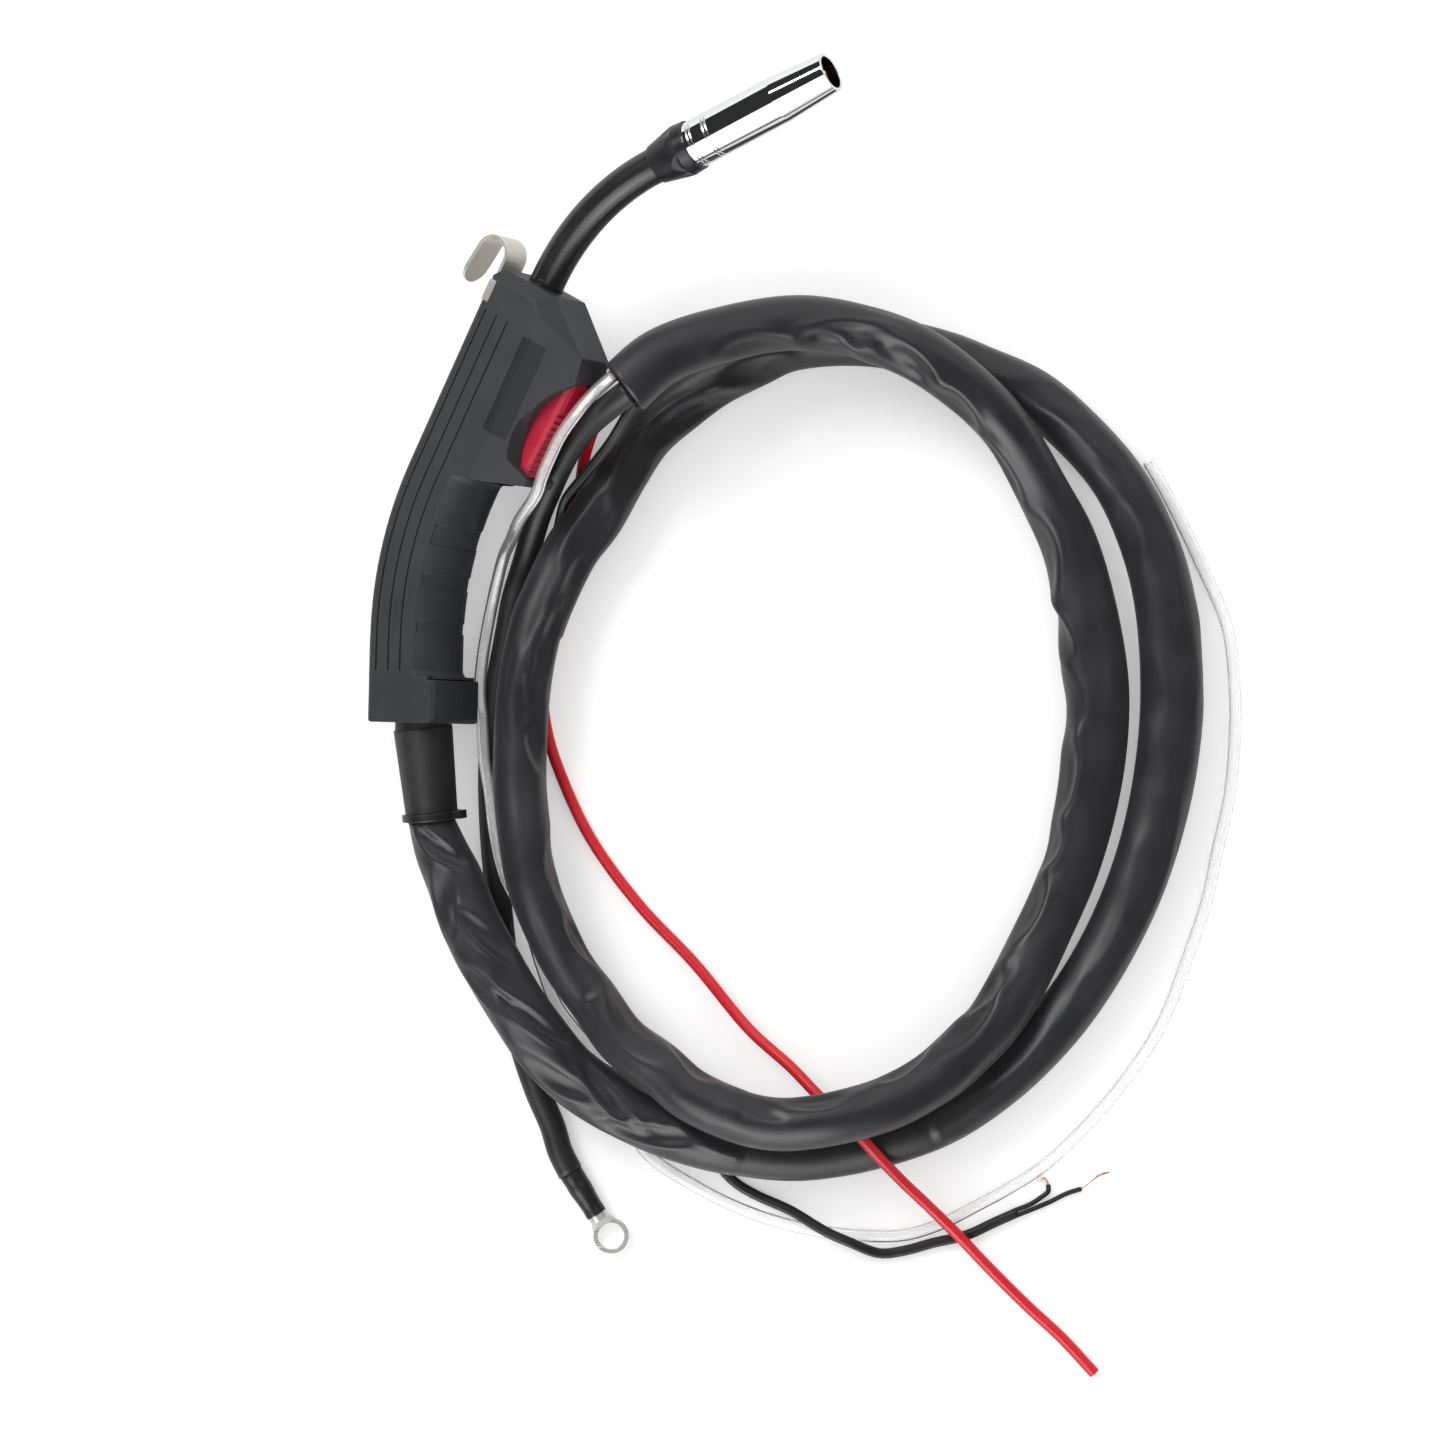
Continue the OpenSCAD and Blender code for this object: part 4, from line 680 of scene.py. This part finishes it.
def dent(s, angle, at, towards, depth, length, width, slant=0.0):
    """How far one dent pushes in. It lies `at` mm along and `towards` degrees round, where 90 is up."""
    off = (angle - towards + 180) % 360 - 180
    reach = np.sqrt(((s - at - slant * off) / length) ** 2 + (off / width) ** 2)
    push = soft_step((DENT_REACH - reach) * DENT_SHARPNESS)
    rim = np.exp(-((reach - RIM_REACH) / RIM_WIDTH) ** 2) * soft_step(-off / RIM_TURN)
    return depth * (push - RIM_SHARE * rim)


print("a dent of 2 mm is", round(float(dent(0, 90, 0, 90, 2, 10, 30)), 2), "mm deep at its middle")

# %% [markdown]
# Where the folds lie follows from how the cable lies. Below the tie the sleeve is twisted into long
# slanting folds. Round the coil it buckles on the inner side, in each stretch to its own depth. In
# some stretches it lies flatter and wider, and where another cord lies close by nothing may bulge.

# %% Where the folds are
SLEEVE_STEP, SLEEVE_SIDES = 1.6, 72
SLEEVE_NECK_DIA, NECK_RUN = 17.4, 34
# How much the sleeve swells, sags to one side and turns oval, and how fast that changes along it
SWELL, SWELL_RUN, SAG, SAG_RUN, SAG_SIDE, OVAL, OVAL_RUN = 0.25, 23, 0.35, 37, 40, 0.5, 61
# Place along and round, depth, length, width and slant of the twisted folds below the tie
TWISTS = [(12, 95, 2.2, 5, 38, 0.2), (30, 60, 1.6, 9, 30, -0.2), (52, 118, 1.9, 7, 34, 0.28),
          (70, 60, 1.7, 8, 30, 0.3), (88, 112, 2.2, 7, 36, 0.34), (108, 60, 1.8, 10, 32, 0.3),
          (126, 112, 2.2, 8, 34, -0.35), (150, 70, 2.0, 10, 32, 0.35), (172, 120, 1.8, 11, 30, -0.3)]
# Start, end, spacing, depth and side of the buckles in each stretch of the coil
BUCKLES = [(195, 700, 55, 0.8, 148), (705, 905, 25, 3.0, 122), (905, 980, 34, 2.0, 144),
           (980, 1190, 33, 2.3, 148), (1200, 1410, 30, 2.4, 172), (1420, 1740, 31, 2.6, 148)]
# Lowest and highest draw of a buckle's shift, turn, share of depth, length, width and slant
BUCKLE_DRAWS = [(-7, 7), (-22, 20), (0.5, 1), (8, 17), (24, 40), (-0.25, 0.25)]
# The last fold, in the same terms as the twists, but measured back from the mouth
MOUTH_FOLD = (92, 112, 2.4, 13, 30, 0.3)
# Lowest and highest draw of a small dent's place round, depth, length, width and slant
SMALL_DENTS, SMALL_DRAWS = 90, [(10, 180), (0.1, 0.4), (7, 26), (12, 26), (-0.4, 0.4)]
# How far from the boot the small dents start, and how far from the mouth they and the buckles stop
DENTS_FROM, DENTS_STOP, BUCKLES_STOP = 60, 30, 45
# Start, end and share of the stretches where the sleeve lies flatter and wider
FLATTENED = [(55, 170, 0.1), (375, 545, 0.1), (1268, 1392, 0.22)]
FLAT_BLEND, FLAT_TOP = 12, 0.4
# Start and end of the stretches where another cord lies close by
CLOSE_BY = [(185, 262), (850, 1000), (1075, 1130)]
CLOSE_SLACK = 0.1
MOUTH_FLARE, FLARE_RUN = 0.5, 4
THINNEST, THICKEST = 0.37, 0.66
print(len(TWISTS), "twisted folds and", len(BUCKLES), "stretches with buckles")

# %% [markdown]
# The radius of every corner starts from the plain cloth and is then pushed in fold by fold. The
# draws come from one seeded row of random numbers, so the folds are the same each time.

# %% Sleeve folds
folds_random = np.random.RandomState(7)


def plain_cloth(s, turn):
    """Radius before the folds: it grows out of the boot, then swells, sags and turns oval slowly."""
    grow = np.clip(s / NECK_RUN, 0, 1)
    radius = SLEEVE_NECK_DIA / 2 + (SLEEVE_DIA - SLEEVE_NECK_DIA) / 2 * grow * (2 - grow)
    radius = radius + SAG * np.sin(s / SAG_RUN + 1) * np.cos(turn - np.radians(SAG_SIDE))
    radius = radius + SWELL * np.sin(s / SWELL_RUN) + OVAL * np.cos(2 * turn) * np.sin(s / OVAL_RUN + 0.5)
    for start, stop, share in FLATTENED:
        here = share * soft_step((s - start) / FLAT_BLEND) * soft_step((stop - s) / FLAT_BLEND)
        top = np.maximum(np.sin(turn), 0)
        radius = radius * (1 + here * np.cos(turn) ** 2 - FLAT_TOP * here * top ** 2)
    return radius


def draw(ranges):
    return [folds_random.uniform(low, high) for low, high in ranges]


def buckles(total):
    """Each buckle's place along and round, depth, length, width and slant."""
    for start, stop, spacing, deepest, inner_side in BUCKLES:
        for at in np.arange(start, min(stop, total - BUCKLES_STOP), spacing):
            shift, turn, share, length, width, slant = draw(BUCKLE_DRAWS)
            yield at + shift, inner_side + turn, deepest * share, length, width, slant


def small_dents(total):
    """The same for the small soft dents all along the sleeve's top."""
    for _ in range(SMALL_DENTS):
        yield draw([(DENTS_FROM, total - DENTS_STOP), *SMALL_DRAWS])


def sleeve_radius(run):
    """The radius at each ring and corner, from how far along the sleeve the rings are."""
    s, turn = run[:, None], ring_turns(SLEEVE_SIDES)[None]
    angle, total = np.degrees(turn), run[-1]
    mouth_fold = (total - MOUTH_FOLD[0], *MOUTH_FOLD[1:])
    radius = plain_cloth(s, turn)
    for fold in [*TWISTS, *buckles(total), mouth_fold, *small_dents(total)]:
        radius = radius - dent(s, angle, *fold)
    for start, stop in CLOSE_BY:
        kept = np.minimum(radius, SLEEVE_DIA / 2 - CLOSE_SLACK)
        radius = np.where((s > start) & (s < stop), kept, radius)
    radius = radius + MOUTH_FLARE * np.exp((s - total) / FLARE_RUN) * np.maximum(-np.sin(turn), 0)
    return np.clip(radius, THINNEST * SLEEVE_DIA, THICKEST * SLEEVE_DIA)


sleeve_line, sleeve_run = smooth_line([sleeve_start, *SLEEVE_ROUTE], SLEEVE_STEP)
sleeve_skin = sleeve_radius(sleeve_run)
print("sleeve", round(sleeve_run[-1]), "mm long, radius", np.round([sleeve_skin.min(), sleeve_skin.max()], 1))

# %% [markdown]
# The sleeve's mouth is cut square and open, so the skin turns inwards there and runs back a little
# way inside before a cap closes it. The outer skin never sinks below the table it lies on.

# %% Sleeve mesh
MOUTH_DEPTH, SLEEVE_WALL, TABLE_CLEAR = 26, 0.9, 0.15


def folded_sleeve_mesh():
    """The outer skin and, past the mouth's rim, the inner one, as one run of rings."""
    back = slice(None, -round(MOUTH_DEPTH / SLEEVE_STEP) - 1, -1)
    spoke = spokes(sleeve_line, SLEEVE_SIDES, boot_out, mouth_out)
    outer = sleeve_line[:, None] + spoke * sleeve_skin[..., None]
    outer[..., 2] = np.maximum(outer[..., 2], TABLE_CLEAR)
    inner_skin = np.minimum(sleeve_skin[back], SLEEVE_DIA / 2 + MOUTH_FLARE) - SLEEVE_WALL
    inner = sleeve_line[back][:, None] + spoke[back] * inner_skin[..., None]
    rings = np.vstack([outer, inner])
    faces = skin_quads(len(rings), SLEEVE_SIDES).tolist() + end_caps(len(rings), SLEEVE_SIDES)
    return smooth_mesh("cable_sleeve_cloth", rings, faces)


sleeve = add_piece("cable_sleeve_cloth", folded_sleeve_mesh(), stands_for=["cable_sleeve"],
                   finish=sleeve_cloth)

# %% [markdown]
# ## The tails
# Four cords leave the mouth. The thickest is the power lead, a plain round cord of stiff rubber. It
# has no folds, so one radius does for the whole line. Its last rings turn in to the ring lug.

# %% Power lead
LUG_TURN, CORD_STEP, LEAD_SIDES = 32, 2.0, 32
lug_out = flat_direction(LUG_TURN - 90)

lead_line, lead_run = smooth_line([lead_start, *LEAD_ROUTE], CORD_STEP)
lead = add_piece("power_lead_rubber",
                 tube_mesh("power_lead_rubber", lead_line, LEAD_DIA / 2, LEAD_SIDES, mouth_out, lug_out),
                 stands_for=["power_lead"], finish=lead_rubber)

# %% [markdown]
# The heat-shrunk sleeve follows what it was shrunk on: wide over the rubber, narrow over the lug's
# barrel, with shallow rings where it gathered. Its bore leaves room for the barrel. The lead, this
# sleeve and the lug make one cord.

# %% Heat-shrunk sleeve
SHRINK_R, SHRINK_LEN, SHRINK_RINGS, SHRINK_WALL = 4.6, 19, 60, 0.85
# How far along the sleeve steps down to the lug's barrel, how softly, and by how much
STEP_AT, STEP_RUN, STEP_DEPTH = 11, 0.9, 0.5
# Depth and turns per mm of the wide and the fine gathered rings
WIDE_RINGS, FINE_RINGS = (0.05, 1.1), (0.015, 5.1)

shrink_run = np.linspace(GAP, SHRINK_LEN + GAP, SHRINK_RINGS)
shrink_line = lead_line[-1] + lug_out * shrink_run[:, None]
step_down = STEP_DEPTH * soft_step((STEP_AT - shrink_run) / STEP_RUN)
gathered = (WIDE_RINGS[0] * np.sin(shrink_run * WIDE_RINGS[1])
            + FINE_RINGS[0] * np.sin(shrink_run * FINE_RINGS[1] + 1))
shrink_skin = (SHRINK_R - STEP_DEPTH + step_down + gathered)[:, None]
shrink = add_piece("lug_shrink_rubber",
                   tube_mesh("lug_shrink_rubber", shrink_line, shrink_skin, LEAD_SIDES, lug_out, lug_out,
                             bore=SHRINK_R - SHRINK_WALL),
                   stands_for=["lug_shrink"], finish=shrink_rubber)

# %% [markdown]
# The gas hose is empty, so it is drawn as a wall with a real bore: clear plastic shows its inner
# skin as two bright lines. It is drawn a hair thinner than in the CAD model, which keeps it off the
# sleeve's folds.

# %% Gas hose
HOSE_BORE, HOSE_SLACK, HOSE_SIDES = 3.2, 0.1, 24
hose_line, hose_run = smooth_line([hose_start, *HOSE_ROUTE], CORD_STEP)
hose = add_piece("gas_hose_clear",
                 tube_mesh("gas_hose_clear", hose_line, HOSE_DIA / 2 - HOSE_SLACK, HOSE_SIDES, mouth_out,
                           bore=HOSE_BORE / 2),
                 stands_for=["gas_hose"], finish=clear_hose)

# %% [markdown]
# The liner is a red tube drawn over a wound wire, and the wire's turns show through as a fine
# spiral. A bump would do from afar, but the spiral is real relief, so it is in the mesh: the radius
# follows a wave that moves on by one pitch with each turn.

# %% Wire liner
SPIRAL_PITCH, SPIRAL_DEPTH, SPIRAL_STEPS, LINER_BORE, LINER_SIDES = 1.1, 0.03, 5, 1.8, 20
liner_line, liner_run = smooth_line([liner_start, *LINER_ROUTE], SPIRAL_PITCH / SPIRAL_STEPS)
liner_wave = 2 * np.pi * liner_run[:, None] / SPIRAL_PITCH + ring_turns(LINER_SIDES)[None]
liner_skin = LINER_DIA / 2 - SPIRAL_DEPTH + SPIRAL_DEPTH * np.cos(liner_wave)
liner = add_piece("wire_liner_red",
                  tube_mesh("wire_liner_red", liner_line, liner_skin, LINER_SIDES, mouth_out,
                            bore=LINER_BORE / 2),
                  stands_for=["wire_liner"], finish=liner_red)

# %% [markdown]
# The control cable is a twin with a shallow seam along its top, between its two cores, which part at
# the end. The cores start a little inside the jacket, side by side, so no gap shows.

# %% Control cable
CONTROL_SIDES, SEAM_DEPTH, SEAM_WIDTH, SEAM_TOP = 28, 0.3, 15, 90
CONTROL_TURN, CORE_SIDE, CORE_INSIDE, CORE_STEP, CORE_SIDES = 23, 1.05, 0.8, 0.6, 16

control_line, control_run = smooth_line([control_start, *CONTROL_ROUTE], CORD_STEP)
control_out, control_left = flat_direction(CONTROL_TURN), flat_direction(CONTROL_TURN + 90)
from_seam = (np.degrees(ring_turns(CONTROL_SIDES)) - SEAM_TOP) / SEAM_WIDTH
control_skin = CONTROL_DIA / 2 - SEAM_DEPTH * np.exp(-from_seam ** 2)
control = add_piece("control_cable_jacket",
                    tube_mesh("control_cable_jacket", control_line, control_skin, CONTROL_SIDES,
                              mouth_out, control_out),
                    stands_for=["control_cable"], finish=cable_rubber)


def core_piece(name, node, route, side):
    start = control_line[-1] - CORE_INSIDE * control_out + side * CORE_SIDE * control_left
    line, _ = smooth_line([start, *route], CORE_STEP)
    mesh = tube_mesh(name, line, CORE_DIA / 2, CORE_SIDES, control_out)
    return line, add_piece(name, mesh, stands_for=[node], finish=cable_rubber)


core_a_line, core_a = core_piece("control_core_a_jacket", "control_core_a", CORE_A_ROUTE, 1)
core_b_line, core_b = core_piece("control_core_b_jacket", "control_core_b", CORE_B_ROUTE, -1)

# %% [markdown]
# Each core ends in a tuft of fine bare copper. A hair system makes its hairs only at render time, and
# an export would lose them, so a tuft is many hair-thin tubes from one spot. Each takes a share of
# the way between the core's two stated strands, and strays a little more with every point.

# %% Bare strands
STRANDS_A = [[(173, -282, 1.6), (171.5, -281.6, 1.3), (170, -281.3, 0.8)],
             [(173.5, -281.5, 1.8), (172.5, -280.6, 1.6), (171.8, -280.2, 1.2)]]
STRANDS_B = [[(190, -282.5, 1.4), (194, -279.5, 1.2), (199, -278, 0.8)],
             [(189.5, -283.5, 1), (192.5, -281, 0.8), (195, -279, 0.5)]]
HAIR_R, HAIRS, HAIR_SIDES, HAIR_STEP, HAIR_LOW, BETWEEN = 0.11, 9, 6, 0.8, 0.3, (-0.2, 1.2)
ROOT_SPREAD, ROOT_FLAT, STRAY, STRAY_FLAT = 0.35, (1, 1, 0.5), 0.25, (0.7, 0.7, 0.25)
strand_random = np.random.RandomState(3)


def hair_line(core_end, strands):
    share, twist = strand_random.uniform(*BETWEEN), strand_random.uniform(-1, 1, 3)
    route = [core_end + ROOT_SPREAD * twist * ROOT_FLAT]
    for n, (one, two) in enumerate(zip(*strands), 1):
        spot = np.array(one) * (1 - share) + np.array(two) * share
        route.append(spot + STRAY * n * twist * STRAY_FLAT)
    route = np.array(route)
    route[:, 2] = np.maximum(route[:, 2], HAIR_LOW)
    return smooth_line(route, HAIR_STEP)[0]


def tuft_mesh(tips):
    """Fine wires from the end of each core, between that core's two stated strands."""
    corners, faces = [], []
    for core_end, strands in tips:
        for _ in range(HAIRS):
            hair_corners, hair_faces = tube_parts(hair_line(core_end, strands), HAIR_R, HAIR_SIDES)
            faces += [[len(corners) + corner for corner in face] for face in hair_faces]
            corners += (hair_corners * MM).tolist()
    mesh = bpy.data.meshes.new("bare_copper_strands")
    mesh.from_pydata(corners, [], faces)
    return mesh


tufts = add_piece("bare_copper_strands",
                  tuft_mesh([(core_a_line[-1], STRANDS_A), (core_b_line[-1], STRANDS_B)]),
                  stands_for=["bare_strands"], finish=copper)

# %% [markdown]
# ## Finishes for the CAD pieces
# The moulded shells, trigger, neck and nozzle keep their CAD shapes. Each gets its finish in its
# material slot, and smooth shading inside each CAD face, which leaves the edges between faces sharp.

# %% Dress the CAD nodes
FINISHES = {
    handle_plastic: ["near_shell", "far_shell"],
    trigger_plastic: ["trigger", "switch_plunger"],
    switch_plastic: ["microswitch"],
    steel: ["shell_screws", "trigger_pin", "trigger_spring", "nozzle_spring", "hose_clip", "hook_screws"],
    hook_nickel: ["hook"],
    brass: ["neck_block", "tip_holder"],
    copper: ["neck_tube", "contact_tip"],
    neck_finish: ["neck_jacket"],
    insulator_plastic: ["neck_insulator"],
    chrome: ["nozzle"],
    boot_rubber: ["cable_boot", "cable_collar"],
    tie_plastic: ["cable_tie"],
    cable_rubber: ["inner_power_cable", "switch_wires"],
    clear_hose: ["inner_gas_hose"],
    liner_red: ["inner_liner"],
    tinned: ["ring_lug"],
}
for material, names in FINISHES.items():
    for name in names:
        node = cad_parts[name]
        node.data.materials.clear()
        node.data.materials.append(material)
        node.data.polygons.foreach_set("use_smooth", [True] * len(node.data.polygons))
print("dressed", sum(len(names) for names in FINISHES.values()), "CAD pieces")

# %% [markdown]
# ## Floor
# A white table under soft light. Its diffuse white keeps the torch's shadows. On top of that it
# glows faintly, only for the camera and for what is seen through the clear hose. So the shadows are
# light, as on white paper, and no extra light falls on the torch.

# %% Floor
FLOOR_SIZE, FLOOR_WHITE, FLOOR_GLOW, FLOOR_ROUGH, FLOOR_SHINE = 12, 0.8, 0.34, 0.9, 0.1


def stage_plane(name, size, location, material):
    bpy.ops.mesh.primitive_plane_add(size=size, location=location)
    plane = bpy.context.object
    plane.name = name
    plane.data.materials.append(material)


floor_white, floor_tree, paper = new_material("floor_white")
paper["Base Color"].default_value = (FLOOR_WHITE, FLOOR_WHITE, FLOOR_WHITE, 1)
paper["Roughness"].default_value = FLOOR_ROUGH
paper["Specular IOR Level"].default_value = FLOOR_SHINE
paper["Emission Strength"].default_value = 1
floor_rays = add_node(floor_tree, "ShaderNodeLightPath").outputs
seen = add_node(floor_tree, "ShaderNodeMath", {
    0: floor_rays["Is Camera Ray"], 1: floor_rays["Is Transmission Ray"]}, operation="MAXIMUM").outputs[0]
feed(floor_tree, paper["Emission Color"], mix_colours(floor_tree, seen, (0, 0, 0), (FLOOR_GLOW,) * 3))
stage_plane("floor", FLOOR_SIZE, (0, 0, 0), floor_white)
print("floor", FLOOR_SIZE, "m wide")

# %% [markdown]
# ## Studio
# The surroundings light the table evenly, but what shines should mirror a studio: dark above, where
# the camera hangs, with two soft boxes in front and a paler wall at the back. So rays that come
# from a reflection see that studio, the camera sees white, and all other rays see plain daylight.

# %% Surroundings
DAYLIGHT, DARK_STUDIO = 0.85, 0.03
# Direction, cosine at its edge, cosine where it is full, brightness
STUDIO_BOXES = [((-0.3, -0.68, 0.67), 0.89, 0.93, 3.4), ((-0.1, -0.93, 0.36), 0.88, 0.93, 2.4),
                ((0.212, 0.791, 0.574), 0.72, 0.95, 1.0)]

world = bpy.data.worlds.new("studio")
bpy.context.scene.world = world
world.use_nodes = True
sky = world.node_tree
direction = add_node(sky, "ShaderNodeTexCoord").outputs["Generated"]
glow = DARK_STUDIO
for towards, box_edge, box_full, bright in STUDIO_BOXES:
    facing = add_node(sky, "ShaderNodeVectorMath", {0: direction, 1: towards}, operation="DOT_PRODUCT")
    patch = ramp(sky, facing.outputs["Value"], box_edge, box_full)
    glow = add_node(sky, "ShaderNodeMath", {0: patch, 1: bright, 2: glow},
                    operation="MULTIPLY_ADD").outputs[0]
sky_rays = add_node(sky, "ShaderNodeLightPath").outputs
light = mix_colours(sky, sky_rays["Is Glossy Ray"], (DAYLIGHT,) * 3, glow)
light = mix_colours(sky, sky_rays["Is Camera Ray"], light, (1, 1, 1))
feed(sky, sky.nodes["Background"].inputs["Color"], light)
print("studio boxes", len(STUDIO_BOXES))

# %% [markdown]
# Even light alone would leave every shadow straight below its piece. One large soft lamp at the
# back left gives the shadows a side and the rounded cords a gentle light edge.

# %% Lamp
LAMP_AT, LAMP_AIM, LAMP_SIZE, LAMP_WATTS = Vector((-1.1, 1.0, 1.5)), Vector((0.03, -0.1, 0)), 0.9, 22

lamp_data = bpy.data.lights.new("key", "AREA")
lamp_data.shape, lamp_data.size, lamp_data.energy = "SQUARE", LAMP_SIZE, LAMP_WATTS
lamp = bpy.data.objects.new("key", lamp_data)
lamp.location = LAMP_AT
lamp.rotation_euler = (LAMP_AIM - LAMP_AT).to_track_quat("-Z", "Y").to_euler()
bpy.context.scene.collection.objects.link(lamp)
bpy.context.scene.view_settings.view_transform = "Standard"
print("lamp", LAMP_WATTS, "W at", round((LAMP_AIM - LAMP_AT).length, 2), "m")
